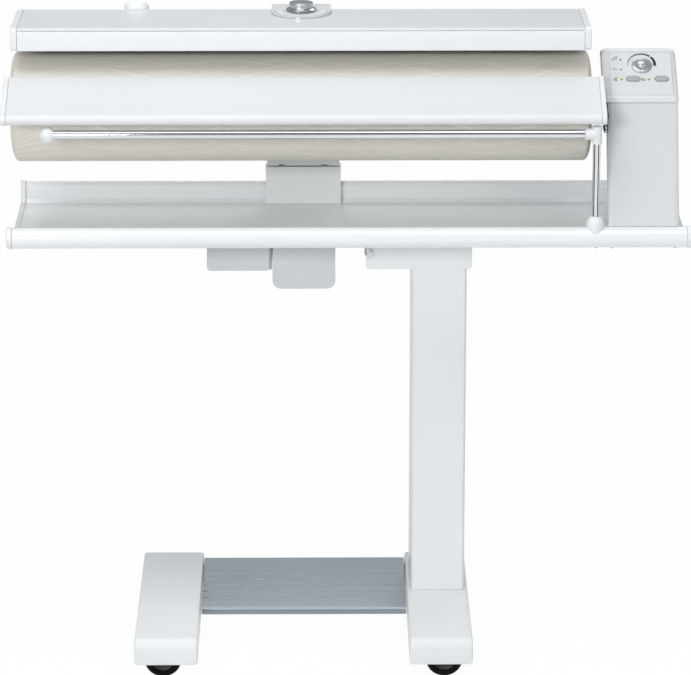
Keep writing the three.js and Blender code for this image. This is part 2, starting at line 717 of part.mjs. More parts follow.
// ---- Column, head bracket and fold hinge ------------------------------------------------------------
function column() {
  const half = COLUMN_WIDTH / 2;
  const outer = roundedRectangle(
    columnX - half, columnX + half, COLUMN_FRONT_Y, COLUMN_FRONT_Y + COLUMN_DEPTH, COLUMN_CORNER_RADIUS,
  );
  const inner = inset(outer, COLUMN_WALL);
  const bottomZ = FOOT_TOP_Z + SEAT_GAP;
  return cut(alongZ(outer, bottomZ, columnTopZ), alongZ(inner, bottomZ - 1, columnTopZ + 1));
}

// A channel open at the top and towards the hinge, whose two walls carry the fold pin.
function headBracket() {
  const leftX = hingeX - HINGE_EDGE;
  const face = roundedRectangle(leftX, headRightX, headBottomZ, headTopZ, HEAD_CORNER_RADIUS, 2);
  const channelLeftX = hingeX + YOKE_EAR_RADIUS + 4;
  const hollow = box(
    leftX - 1, headRightX - HEAD_WALL, headFrontY + HEAD_WALL, headBackY - HEAD_WALL,
    headBottomZ + HEAD_WALL, headTopZ + 1,
  );
  const hingeMouth = box(
    leftX - 1, channelLeftX, headFrontY + HEAD_WALL, headBackY - HEAD_WALL, headBottomZ - 1, headTopZ + 1,
  );
  const pinBore = rodY(FOLD_PIN_RADIUS + SEAT_GAP, headFrontY - 1, headBackY + 1, hingeX, hingeZ);
  return cut(alongY(face, headFrontY, headBackY), hollow, hingeMouth, pinBore);
}

function foldPin() {
  const headBackFaceY = headFrontY - SEAT_GAP;
  return join(
    rodY(FOLD_PIN_RADIUS, headBackFaceY - 0.5, headBackY, hingeX, hingeZ),
    rodY(FOLD_PIN_HEAD_RADIUS, headBackFaceY - FOLD_PIN_HEAD_LENGTH, headBackFaceY, hingeX, hingeZ),
  );
}

// The plate under the tray, with two ears on the fold pin and a pad that rests on the bracket's wall.
function foldYoke() {
  const topZ = yokeBottomZ + YOKE_THICKNESS;
  const earFrontY = headFrontY + HEAD_WALL + 1;
  const earBackY = headBackY - HEAD_WALL - 1;
  const plate = box(hingeX - 15, headRightX + 4, earFrontY, earBackY, yokeBottomZ, topZ);
  const earOutline = [
    ...arc(hingeX, hingeZ, YOKE_EAR_RADIUS, 180, 360, 8),
    [hingeX + YOKE_EAR_RADIUS, topZ],
    [hingeX - YOKE_EAR_RADIUS, topZ],
  ];
  const ears = [
    alongY(earOutline, earFrontY, earFrontY + YOKE_EAR_THICKNESS),
    alongY(earOutline, earBackY - YOKE_EAR_THICKNESS, earBackY),
  ];
  const pad = box(
    headRightX - REST_PAD_WIDTH, headRightX, earFrontY + 10, earBackY - 10,
    headTopZ + SEAT_GAP, topZ,
  );
  const bore = rodY(FOLD_PIN_RADIUS + RUN_CLEARANCE, earFrontY - 1, earBackY + 1, hingeX, hingeZ);
  return cut(join(plate, ...ears, pad), bore);
}

addPiece('column', column(), 'white');
addPiece('head_bracket', headBracket(), 'white');
addPiece('fold_pin', foldPin(), 'chrome');
addPiece('fold_yoke', foldYoke(), 'steel');

// ---- Laundry tray -------------------------------------------------------------------------------
const webFootY = NOSE_Y + NOSE_RADIUS * Math.SQRT2 + noseZ - trayFloorZ;

// The tray's section, grown outwards by the given amount.
function trayOutline(grow) {
  const radius = NOSE_RADIUS + grow;
  return [
    [NOSE_Y + 42, trayUnderZ - grow],
    [LIP_BACK_Y + grow, trayUnderZ - grow],
    [LIP_BACK_Y + grow, lipTopZ - 3],
    [LIP_BACK_Y - 2 + grow, lipTopZ - 0.7 + grow],
    ...arc(LIP_FRONT_Y + LIP_ROUND, lipTopZ - LIP_ROUND, LIP_ROUND + grow, 90, 180, 4),
    [LIP_FRONT_Y - grow, trayFloorZ + 5],
    [LIP_FRONT_Y - 5, trayFloorZ + grow],
    [webFootY + grow * Math.tan(Math.PI / 8), trayFloorZ + grow],
    ...arc(NOSE_Y, noseZ, radius, 45, 270, 12),
  ];
}

function tray() {
  const noseHollow = [
    ...arc(NOSE_Y, noseZ, NOSE_RADIUS - NOSE_WALL, 45, 270, 10),
    [NOSE_Y + 35, trayUnderZ + 7.3],
  ];
  const lipHollow = [
    [LIP_FRONT_Y + NOSE_WALL, trayFloorZ + 1],
    [LIP_BACK_Y - NOSE_WALL, trayFloorZ + 1],
    [LIP_BACK_Y - NOSE_WALL, lipTopZ - NOSE_WALL - 3],
    [LIP_FRONT_Y + LIP_ROUND - 3, lipTopZ - NOSE_WALL - 3],
    [LIP_FRONT_Y + NOSE_WALL, lipTopZ - LIP_ROUND],
  ];
  const leftX = trayLeftX + TRAY_CAP_THICKNESS + SEAT_GAP;
  const rightX = trayRightX - TRAY_CAP_THICKNESS - SEAT_GAP;
  return alongX(trayOutline(0), leftX, rightX, 0, [noseHollow, lipHollow]);
}

function trayCap(x0) {
  return alongX(trayOutline(TRAY_CAP_PROUD), x0, x0 + TRAY_CAP_THICKNESS, 1.6);
}

addPiece('tray', tray(), 'white');
addPiece('tray_cap_left', trayCap(trayLeftX), 'white');
addPiece('tray_cap_right', trayCap(trayRightX - TRAY_CAP_THICKNESS), 'white');

// ---- Covers under the tray, and what they hold --------------------------------------------------------
const underCoverTopZ = trayUnderZ - SEAT_GAP;
const liftFloorZ = underCoverTopZ - LIFT_COVER_DROP;
const boardFloorZ = underCoverTopZ - BOARD_COVER_DROP;

function underCover(leftX, rightX, floorZ, radius) {
  const outline = [
    ...arc(rightX - radius, floorZ + radius, radius, -90, 0, 4),
    [rightX, underCoverTopZ],
    [leftX, underCoverTopZ],
    ...arc(leftX + radius, floorZ + radius, radius, 180, 270, 4),
  ];
  const hollow = inset(outline, UNDER_COVER_WALL);
  const frontY = UNDER_COVER_FRONT_Y + UNDER_COVER_WALL;
  const backY = UNDER_COVER_BACK_Y - UNDER_COVER_WALL;
  const inside = alongY(hollow, frontY, backY);
  return cut(
    alongY(outline, UNDER_COVER_FRONT_Y, UNDER_COVER_BACK_Y),
    inside,
    inside.clone().translate(0, 0, 2 * UNDER_COVER_WALL),
  );
}

const plungerZ = trayUnderZ - PLUNGER_DROP;
const plungerX = (LIFT_COVER_LEFT_X + LIFT_COVER_RIGHT_X) / 2;
const tailFrontY = LIP_BACK_Y + TAIL_GAP;

function liftCover() {
  const shell = underCover(LIFT_COVER_LEFT_X, LIFT_COVER_RIGHT_X, liftFloorZ, LIFT_COVER_RADIUS);
  const hole = PLUNGER_RADIUS + PLUNGER_HOLE_GAP;
  const plungerHole = rodY(hole, UNDER_COVER_BACK_Y - 5, UNDER_COVER_BACK_Y + 5, plungerX, plungerZ);
  return cut(shell, plungerHole);
}

function boardCover() {
  const shell = underCover(BOARD_COVER_LEFT_X, BOARD_COVER_RIGHT_X, boardFloorZ, BOARD_COVER_RADIUS);
  const neck = box(
    BOARD_COVER_RIGHT_X - 1, BOARD_COVER_RIGHT_X + BOARD_COVER_NECK,
    UNDER_COVER_FRONT_Y + BOARD_COVER_NECK_INSET, UNDER_COVER_BACK_Y - BOARD_COVER_NECK_INSET,
    boardFloorZ, underCoverTopZ,
  );
  return join(shell, neck);
}

function liftActuator() {
  const seatZ = liftFloorZ + UNDER_COVER_WALL + SEAT_GAP;
  const half = ACTUATOR_LENGTH / 2;
  const frontY = UNDER_COVER_FRONT_Y + ACTUATOR_MARGIN;
  const backY = frontY + ACTUATOR_DEPTH;
  const body = box(plungerX - half, plungerX + half, frontY, backY, seatZ, plungerZ + ACTUATOR_HEAD);
  const plunger = rodY(PLUNGER_RADIUS, backY - 1, tailFrontY - SEAT_GAP, plungerX, plungerZ, 16);
  return join(body, plunger);
}

function controlBoard() {
  const middleX = (BOARD_COVER_LEFT_X + BOARD_COVER_RIGHT_X) / 2;
  const seatZ = boardFloorZ + UNDER_COVER_WALL + SEAT_GAP;
  const leftX = middleX - BOARD_LENGTH / 2;
  const rightX = middleX + BOARD_LENGTH / 2;
  const frontY = UNDER_COVER_FRONT_Y + BOARD_MARGIN;
  const backY = frontY + BOARD_WIDTH;
  const topZ = seatZ + BOARD_RISE + BOARD_THICKNESS;
  const rails = [leftX + BOARD_RAIL_INSET, rightX - BOARD_RAIL_INSET - BOARD_RAIL_WIDTH].map((x) => box(
    x, x + BOARD_RAIL_WIDTH, frontY + BOARD_RAIL_INSET, backY - BOARD_RAIL_INSET, seatZ, topZ - 1,
  ));
  const relayX = leftX + 2 * BOARD_RAIL_WIDTH;
  const relayY = frontY + BOARD_RAIL_INSET + BOARD_RAIL_WIDTH;
  const coilX = relayX + RELAY_LENGTH + BOARD_RAIL_WIDTH;
  const coilY = frontY + BOARD_WIDTH / 2;
  return join(
    box(leftX, rightX, frontY, backY, topZ - BOARD_THICKNESS, topZ),
    ...rails,
    box(relayX, relayX + RELAY_LENGTH, relayY, relayY + RELAY_WIDTH, topZ - 1, topZ + RELAY_HEIGHT),
    box(coilX, coilX + COIL_LENGTH, coilY, coilY + COIL_WIDTH, topZ - 1, topZ + COIL_HEIGHT),
  );
}

addPiece('lift_cover', liftCover(), 'greyWhite');
addPiece('board_cover', boardCover(), 'greyWhite');
addPiece('lift_actuator', liftActuator(), 'darkPlastic');
addPiece('control_board', controlBoard(), 'board');

// ---- Roller -------------------------------------------------------------------------------------
const shoulderInnerRadius = ROLLER_RADIUS - SHOULDER_DROP;
const shoulderLeftX = ROLLER_LEFT_X + SHOULDER_LENGTH;
const shoulderRightX = ROLLER_RIGHT_X - SHOULDER_LENGTH;

// A line of [radius, x] points over the roller's two rounded shoulders, sunk in by the given depth.
function rollerSkin(depth, fromDeg, steps) {
  const length = SHOULDER_LENGTH - depth;
  const drop = SHOULDER_DROP - depth;
  const left = arc(shoulderLeftX, shoulderInnerRadius, length, 180 - fromDeg, 90, steps, drop);
  const right = arc(shoulderRightX, shoulderInnerRadius, length, 90, fromDeg, steps, drop);
  return [...left, ...right].map(([x, radius]) => [radius, x]);
}

function rollerCloth() {
  return turned(closedLoop([
    [CLOTH_MOUTH_RADIUS, ROLLER_LEFT_X],
    ...rollerSkin(0, 0, 4),
    [CLOTH_MOUTH_RADIUS, ROLLER_RIGHT_X],
    [CLOTH_MOUTH_RADIUS, ROLLER_RIGHT_X - CLOTH_THICKNESS],
    ...rollerSkin(CLOTH_THICKNESS, 0, 4).reverse(),
    [CLOTH_MOUTH_RADIUS, ROLLER_LEFT_X + CLOTH_THICKNESS],
  ]), 'x', 40);
}

function rollerPadding() {
  const depth = CLOTH_THICKNESS + SEAT_GAP;
  const innerRadius = coreRadius + SEAT_GAP;
  const fromDeg = THREE.MathUtils.radToDeg(
    Math.asin((innerRadius - shoulderInnerRadius) / (SHOULDER_DROP - depth)),
  );
  return turned(closedLoop(rollerSkin(depth, fromDeg, 2)), 'x', 40);
}

function rollerCore() {
  const hub = SHAFT_RADIUS + SEAT_GAP;
  const left = ROLLER_LEFT_X + CORE_END_INSET;
  const right = ROLLER_RIGHT_X - CORE_END_INSET;
  const inner = coreRadius - CORE_WALL;
  return turned(closedLoop([
    [hub, left],
    [coreRadius, left],
    [coreRadius, right],
    [hub, right],
    [hub, right - CORE_WALL],
    [inner, right - CORE_WALL],
    [inner, left + CORE_WALL],
    [hub, left + CORE_WALL],
  ]), 'x', 32);
}

function rollerPulley() {
  const bore = SHAFT_RADIUS + SEAT_GAP;
  return turned(closedLoop([
    [bore, pulleyLeftX],
    [ROLLER_PULLEY_RADIUS, pulleyLeftX],
    [ROLLER_PULLEY_RADIUS, pulleyLeftX + PULLEY_WIDTH],
    [bore, pulleyLeftX + PULLEY_WIDTH],
  ]), 'x', 32);
}

const shaftRightX = pulleyLeftX + PULLEY_WIDTH + 2;
const rollerPieces = new THREE.Group();
rollerPieces.position.set(0, ROLLER_Y, rollerZ);
ironer.add(rollerPieces);
addPiece('roller_cloth', rollerCloth(), 'cloth', rollerPieces);
addPiece('roller_padding', rollerPadding(), 'felt', rollerPieces);
addPiece('roller_core', rollerCore(), 'steel', rollerPieces);
addPiece('roller_shaft', rodX(SHAFT_RADIUS, ROLLER_LEFT_X + 1, shaftRightX, 0, 0), 'steel', rollerPieces);
addPiece('roller_pulley', rollerPulley(), 'darkPlastic', rollerPieces);

// ---- Drive inside the tower -----------------------------------------------------------------------
const towerFrontFoot = [NOSE_Y + 1.5, noseZ + NOSE_RADIUS + SEAT_GAP];
const towerFrontTop = [TOWER_SEAM_FRONT_Y, seamZ - SEAT_GAP];
const towerFrontLean = (towerFrontTop[0] - towerFrontFoot[0]) / (towerFrontTop[1] - towerFrontFoot[1]);
const towerTaper = radians(TOWER_TAPER_DEG);

// How far each side wall has drawn in at a point inside the tower.
function towerDrawnIn(y, z) {
  const frontY = towerFrontFoot[0] + (z - towerFrontFoot[1]) * towerFrontLean;
  return (y - frontY - TOWER_EDGE_RADIUS) * Math.tan(towerTaper);
}

// What lies outside a side wall of the tower, or outside its inner face.
function beyondTowerSide(outward, wall) {
  const sideX = outward < 0 ? towerLeftX : towerRightX;
  const [footY, footZ] = towerFrontFoot;
  const corner = new THREE.Vector3(sideX - outward * wall, footY + TOWER_EDGE_RADIUS, footZ);
  const along = new THREE.Vector3(0, towerFrontLean, 1);
  const back = new THREE.Vector3(-outward * Math.sin(towerTaper), Math.cos(towerTaper), 0);
  return blockBeyond(corner, along, back, outward);
}

const bearingDrawnIn = towerDrawnIn(ROLLER_Y + BEARING_RADIUS, rollerZ - BEARING_RADIUS);
const bearingLeftX = towerLeftX + TOWER_WALL + bearingDrawnIn;

function rollerBearing() {
  const left = bearingLeftX + SEAT_GAP;
  const right = left + BEARING_LENGTH;
  const bore = SHAFT_RADIUS + RUN_CLEARANCE;
  return turned(closedLoop([
    [bore, left],
    [BEARING_RADIUS, left],
    [BEARING_RADIUS, left + BEARING_LENGTH / 3],
    [BEARING_RADIUS - 3, right],
    [bore, right],
  ]), 'x', 24);
}

function driveMotor() {
  const middleX = (motorLeftX + motorRightX) / 2;
  const can = rodX(MOTOR_RADIUS, motorLeftX, motorRightX, ROLLER_Y, motorZ);
  const stand = box(
    middleX - MOTOR_STAND_LENGTH / 2, middleX + MOTOR_STAND_LENGTH / 2,
    ROLLER_Y - MOTOR_STAND_WIDTH / 2, ROLLER_Y + MOTOR_STAND_WIDTH / 2, trayFloorZ + SEAT_GAP, motorZ,
  );
  const shaftBore = rodX(
    MOTOR_SHAFT_RADIUS + RUN_CLEARANCE, motorRightX - 12, motorRightX + 1, ROLLER_Y, motorZ,
  );
  return cut(join(can, stand), shaftBore);
}

function motorPulley() {
  const stubLeftX = motorRightX - 10;
  return turned([
    [0, stubLeftX],
    [MOTOR_SHAFT_RADIUS, stubLeftX],
    [MOTOR_SHAFT_RADIUS, pulleyLeftX],
    [MOTOR_PULLEY_RADIUS, pulleyLeftX],
    [MOTOR_PULLEY_RADIUS, pulleyLeftX + PULLEY_WIDTH],
    [0, pulleyLeftX + PULLEY_WIDTH],
  ], 'x', 24);
}

// The outline round both pulleys, at the given distance from them.
function beltOutline(distance) {
  const spanZ = rollerZ - motorZ;
  const leanDeg = THREE.MathUtils.radToDeg(
    Math.asin((ROLLER_PULLEY_RADIUS - MOTOR_PULLEY_RADIUS) / spanZ),
  );
  return [
    ...arc(ROLLER_Y, rollerZ, ROLLER_PULLEY_RADIUS + distance, -leanDeg, 180 + leanDeg, 18),
    ...arc(ROLLER_Y, motorZ, MOTOR_PULLEY_RADIUS + distance, 180 + leanDeg, 360 - leanDeg, 10),
  ];
}

function driveBelt() {
  const outer = beltOutline(SEAT_GAP + BELT_THICKNESS);
  const leftX = pulleyLeftX + BELT_SIDE_INSET;
  const rightX = pulleyLeftX + PULLEY_WIDTH - BELT_SIDE_INSET;
  return alongX(outer, leftX, rightX, 0, [beltOutline(SEAT_GAP)]);
}

addPiece('roller_bearing', rollerBearing(), 'steel').position.set(0, ROLLER_Y, rollerZ);
addPiece('drive_motor', driveMotor(), 'darkPlastic');
addPiece('motor_pulley', motorPulley(), 'darkPlastic').position.set(0, ROLLER_Y, motorZ);
addPiece('drive_belt', driveBelt(), 'rubber');

// ---- Tower --------------------------------------------------------------------------------------
const towerBackFoot = [TOWER_BACK_Y, trayFloorZ + SEAT_GAP];
const towerBackTop = [TOWER_SEAM_BACK_Y, seamZ - SEAT_GAP];
const towerOutline = [
  towerFrontFoot,
  [webFootY, trayFloorZ + SEAT_GAP],
  towerBackFoot,
  towerBackTop,
  towerFrontTop,
];

function between([a, b], [c, d], share) {
  return [a + share * (c - a), b + share * (d - b)];
}

// The tower's body before its seam and its foot are trimmed: only the long edges keep their rounding.
const towerBody = [
  between(towerFrontFoot, towerFrontTop, -0.15),
  between(towerBackFoot, towerBackTop, -0.1),
  between(towerBackFoot, towerBackTop, 1.1),
  between(towerFrontFoot, towerFrontTop, 1.1),
];

const glandZ = trayUnderZ + GLAND_RISE;
const towerBackLean = (TOWER_BACK_Y - TOWER_SEAM_BACK_Y) / (seamZ - trayFloorZ);
const glandSeatY = TOWER_BACK_Y - (glandZ - GLAND_RADIUS - 4 - trayFloorZ) * towerBackLean;
const glandX = (towerLeftX + towerRightX) / 2;

function towerShell() {
  const inside = cut(
    alongX(inset(towerOutline, TOWER_WALL), towerLeftX, towerRightX),
    beyondTowerSide(-1, TOWER_WALL),
    beyondTowerSide(1, TOWER_WALL),
  );
  const shaftHole = rodX(SHAFT_RADIUS + 3, towerLeftX - 1, bearingLeftX + 1, ROLLER_Y, rollerZ);
  const glandHole = rodY(GLAND_RADIUS + SEAT_GAP, glandSeatY - 20, glandSeatY + 5, glandX, glandZ);
  const beltRoom = box(
    pulleyLeftX - BELT_THICKNESS, pulleyLeftX + PULLEY_WIDTH + BELT_THICKNESS,
    TOWER_SEAM_FRONT_Y + 20, TOWER_SEAM_BACK_Y - 20, seamZ - TOWER_WALL - 5, seamZ + 5,
  );
  return cut(
    common(
      alongX(towerBody, towerLeftX, towerRightX, TOWER_EDGE_RADIUS),
      alongX(towerOutline, towerLeftX, towerRightX),
    ),
    alongX(trayOutline(SEAT_GAP), towerLeftX - 1, towerRightX + 1),
    beyondTowerSide(-1, 0),
    beyondTowerSide(1, 0),
    inside,
    inside.clone().translate(0, 0, -3 * TOWER_WALL),
    shaftHole,
    glandHole,
    beltRoom,
  );
}

function cableGland() {
  const flangeY = glandSeatY + SEAT_GAP;
  return turned([
    [0, flangeY - 14],
    [GLAND_RADIUS, flangeY - 14],
    [GLAND_RADIUS, flangeY],
    [GLAND_RADIUS + 4, flangeY],
    [GLAND_RADIUS + 4, flangeY + 5],
    [GLAND_RADIUS, flangeY + 12],
    [0, flangeY + 12],
  ], 'y', 16);
}

addPiece('tower_shell', towerShell(), 'white');
addPiece('cable_gland', cableGland(), 'darkPlastic').position.set(glandX, 0, glandZ);

// ---- Control head: everything on the sloping panel is laid out in the panel's own plane -----------------
const panelEndY = PANEL_START_Y + PANEL_LENGTH * Math.cos(radians(PANEL_TILT_DEG));
const panelEndZ = panelStartZ + PANEL_LENGTH * Math.sin(radians(PANEL_TILT_DEG));
const controlTopZ = panelEndZ + 3;
const panel = new THREE.Group();
panel.position.set(0, PANEL_START_Y, panelStartZ);
panel.rotation.x = radians(PANEL_TILT_DEG);
ironer.add(panel);
panel.updateMatrix();

function onPanel(geometry) {
  return geometry.clone().applyMatrix4(panel.matrix);
}

const controlSkirt = 3 * CONTROL_EDGE_RADIUS;
const controlRidgeY = panelEndY + 4;
const controlRoofFall = (TOWER_SEAM_BACK_Y - controlRidgeY) * Math.tan(radians(CONTROL_ROOF_FALL_DEG));
const controlCorners = [
  [CONTROL_SEAM_FRONT_Y - CONTROL_FRONT_LEAN * controlSkirt, seamZ - controlSkirt],
  [TOWER_SEAM_BACK_Y, seamZ - controlSkirt],
  [TOWER_SEAM_BACK_Y, controlTopZ - controlRoofFall, 14],
  [controlRidgeY, controlTopZ, 7],
  [PANEL_START_Y, panelStartZ, 3],
];

// What lies outside a side of the control head, which draws in behind the panel.
function beyondControlSide(outward, wall) {
  const taper = radians(CONTROL_TAPER_DEG);
  const tilt = radians(PANEL_TILT_DEG);
  const sideX = outward < 0 ? controlLeftX : controlRightX;
  const back = new THREE.Vector3(
    -outward * Math.sin(taper), Math.cos(taper) * Math.sin(tilt), -Math.cos(taper) * Math.cos(tilt),
  );
  const corner = new THREE.Vector3(
    sideX - outward * wall,
    PANEL_START_Y + CONTROL_EDGE_RADIUS * Math.sin(tilt),
    panelStartZ - CONTROL_EDGE_RADIUS * Math.cos(tilt),
  );
  return blockBeyond(corner, new THREE.Vector3(0, Math.cos(tilt), Math.sin(tilt)), back, outward);
}

function fasciaOutline(grow) {
  return roundedRectangle(
    fasciaLeftX - grow, fasciaRightX + grow, FASCIA_FROM - grow, FASCIA_TO + grow, FASCIA_RADIUS, 2,
  );
}

function pill(x, grow) {
  const radius = BUTTON_HEIGHT / 2 + grow;
  const reach = (BUTTON_WIDTH - BUTTON_HEIGHT) / 2;
  return [
    ...arc(x + reach, BUTTON_S, radius, -90, 90, 7),
    ...arc(x - reach, BUTTON_S, radius, 90, 270, 7),
  ];
}

const pocketDepth = FASCIA_THICKNESS + SEAT_GAP;
const buttonHoles = [buttonLeftX, buttonRightX].map((x) => alongZ(pill(x, SLIDE_CLEARANCE), -8, 2));
const spindleHole = rodZ(KNOB_SPINDLE_RADIUS + RUN_CLEARANCE, -8, 2, knobX, KNOB_S);

function controlHead() {
  const inside = cut(
    alongX(inset(controlCorners, TOWER_WALL), controlLeftX + TOWER_WALL, controlRightX - TOWER_WALL),
    beyondControlSide(-1, TOWER_WALL),
    beyondControlSide(1, TOWER_WALL),
  );
  const pocket = alongZ(fasciaOutline(SEAT_GAP), -pocketDepth, 5);
  const belowSeam = box(
    controlLeftX - 1, controlRightX + 1, TOWER_SEAM_FRONT_Y - 30, TOWER_SEAM_BACK_Y + 1,
    seamZ - controlSkirt - 1, seamZ,
  );
  return cut(
    alongX(softened(controlCorners), controlLeftX, controlRightX, CONTROL_EDGE_RADIUS),
    beyondControlSide(-1, 0),
    beyondControlSide(1, 0),
    inside,
    belowSeam,
    ...[pocket, ...buttonHoles, spindleHole].map(onPanel),
  );
}

function fasciaPlate() {
  const plate = alongZ(fasciaOutline(0), -FASCIA_THICKNESS, 0);
  return cut(plate, ...buttonHoles, spindleHole);
}

function temperatureKnob() {
  const foot = SEAT_GAP;
  return turned([
    [0, -9],
    [KNOB_SPINDLE_RADIUS, -9],
    [KNOB_SPINDLE_RADIUS, foot],
    [KNOB_SKIRT_RADIUS, foot],
    [KNOB_SKIRT_RADIUS, foot + 2.5],
    [KNOB_CAP_RADIUS + 1.2, foot + 5],
    [KNOB_CAP_RADIUS, KNOB_HEIGHT - 1],
    [KNOB_CAP_RADIUS - 2, KNOB_HEIGHT],
    [0, KNOB_HEIGHT + 0.4],
  ], 'z', 28);
}

// A button with an inner flange that keeps it in the panel; the flange stops short of its full travel.
function button(x) {
  const wallInside = -TOWER_WALL;
  const cap = alongZ(pill(x, 0), wallInside - BUTTON_TRAVEL - 2, BUTTON_PROUD, 0.8);
  const flangeTop = wallInside - SEAT_GAP;
  return join(cap, alongZ(pill(x, BUTTON_FLANGE), flangeTop - 1.5, flangeTop));
}

addPiece('control_head', controlHead(), 'white');
addPiece('fascia_plate', fasciaPlate(), 'greyWhite', panel);
addPiece('temperature_knob', temperatureKnob(), 'silver', panel).position.set(knobX, KNOB_S, 0);
addPiece('button_left', button(buttonLeftX), 'silver', panel);
addPiece('button_right', button(buttonRightX), 'silver', panel);

// ---- Feed plate -----------------------------------------------------------------------------------
const feedBackZ = rollerZ + FEED_BACK_RISE;
const feedLipTopZ = rollerZ + FEED_LIP_RISE;
const feedLipZ = feedLipTopZ - FEED_LIP_RADIUS;

function feedOutline(grow) {
  const outer = FEED_LIP_RADIUS + grow;
  const inner = FEED_LIP_RADIUS - FEED_SHEET;
  return [
    [FEED_BACK_Y + grow, feedBackZ + grow],
    ...arc(FEED_LIP_Y, feedLipZ, outer, 112, 290, 6),
    ...arc(FEED_LIP_Y, feedLipZ, inner, 290, 112, 3),
    [FEED_BACK_Y + grow, feedBackZ - FEED_SHEET],
  ];
}

function feedCapOutline() {
  const outer = FEED_LIP_RADIUS + 0.8;
  return [
    [FEED_BACK_Y + 1, feedBackZ + 1],
    ...arc(FEED_LIP_Y, feedLipZ, outer, 112, 300, 6),
    [FEED_BACK_Y + 1, feedBackZ - FEED_SHEET],
  ];
}

function feedCap(x0) {
  return alongX(feedCapOutline(), x0, x0 + FEED_CAP_THICKNESS, 1);
}

// A gusset between the feed plate's end and the tower's side wall.
function feedBracket() {
  const x0 = feedRightX + SEAT_GAP;
  const frontY = FEED_LIP_Y + 10;
  const wallY = TOWER_SEAM_FRONT_Y + 12;
  const gusset = [
    [frontY, feedLipTopZ - 3],
    [frontY + 6, feedLipTopZ - 12],
    [wallY - 28, feedLipTopZ - 42],
    [wallY, feedLipTopZ - 42],
    [wallY, feedLipTopZ - 4],
  ];
  const mount = box(
    x0, towerLeftX - SEAT_GAP, wallY - 14, wallY, feedLipTopZ - 38, feedLipTopZ - 10,
  );
  return join(alongX(gusset, x0, x0 + FEED_BRACKET_THICKNESS), mount);
}

const feedInnerLeftX = feedLeftX + FEED_CAP_THICKNESS + SEAT_GAP;
const feedInnerRightX = feedRightX - FEED_CAP_THICKNESS - SEAT_GAP;
addPiece('feed_plate', alongX(feedOutline(0), feedInnerLeftX, feedInnerRightX), 'white');
addPiece('feed_cap_left', feedCap(feedLeftX), 'white');
addPiece('feed_cap_right', feedCap(feedRightX - FEED_CAP_THICKNESS), 'white');
addPiece('feed_bracket', feedBracket(), 'steel');

// ---- Laundry rail ---------------------------------------------------------------------------------
const noseTopZ = noseZ + NOSE_RADIUS;
const railBaseTopZ = noseTopZ + RAIL_BASE_RISE;
const postBottomZ = noseTopZ + 4;
const sleeveBottomZ = railZ - 14;
const sleeveTopZ = railZ + 11;
const socketLeftX = railX - RAIL_SOCKET_LENGTH;
const rodRightX = railX - RAIL_SLEEVE_RADIUS;

function railBase() {
  const dome = turned([
    [0, noseTopZ - 9],
    [RAIL_BASE_RADIUS, noseTopZ - 9],
    ...arc(0, noseTopZ + 4, RAIL_BASE_RADIUS, 0, 60, 4, RAIL_BASE_RISE - 3),
    [0, railBaseTopZ - 1],
  ], 'z', 24);
  const seat = alongX(trayOutline(SEAT_GAP), -RAIL_BASE_RADIUS - 1, RAIL_BASE_RADIUS + 1);
  seat.translate(0, -NOSE_Y, 0);
  const bore = rodZ(RAIL_POST_RADIUS + RUN_CLEARANCE, postBottomZ - SEAT_GAP, railBaseTopZ + 1, 0, 0);
  return cut(dome, seat, bore);
}

function railElbow() {
  const sleeve = rodZ(RAIL_SLEEVE_RADIUS, sleeveBottomZ, sleeveTopZ, railX, NOSE_Y);
  const socket = rodX(RAIL_SOCKET_RADIUS, socketLeftX, railX, NOSE_Y, railZ);
  const postBore = rodZ(RAIL_POST_RADIUS + SEAT_GAP, sleeveBottomZ - 1, railZ, railX, NOSE_Y);
  const rodBore = rodX(RAIL_ROD_RADIUS + SEAT_GAP, socketLeftX - 1, rodRightX, NOSE_Y, railZ);
  return cut(join(sleeve, socket), postBore, rodBore);
}

function railBall() {
  const ball = new THREE.SphereGeometry(RAIL_BALL_RADIUS, 18, 12).translate(railBallX, NOSE_Y, railZ);
  const bore = rodX(
    RAIL_ROD_RADIUS + SEAT_GAP, railBallX, railBallX + 2 * RAIL_BALL_RADIUS, NOSE_Y, railZ,
  );
  return cut(ball, bore);
}

const postTopZ = railZ - SEAT_GAP;
addPiece('rail_base', railBase(), 'white').position.set(railX, NOSE_Y, 0);
addPiece('rail_post', rodZ(RAIL_POST_RADIUS, postBottomZ, postTopZ, railX, NOSE_Y), 'chrome');
addPiece('rail_elbow', railElbow(), 'white');
addPiece('rail_rod', rodX(RAIL_ROD_RADIUS, railBallX + 2, rodRightX - SEAT_GAP, NOSE_Y, railZ), 'chrome');
addPiece('rail_ball', railBall(), 'white');

// ---- Lift fairing behind the roller, with the ears that carry the pressing head --------------------
const fairingTopZ = trayUnderZ + FAIRING_HEIGHT;
const earPlaces = [ARM_LEFT_X + EAR_INSET, ARM_RIGHT_X - EAR_INSET - EAR_WIDTH];

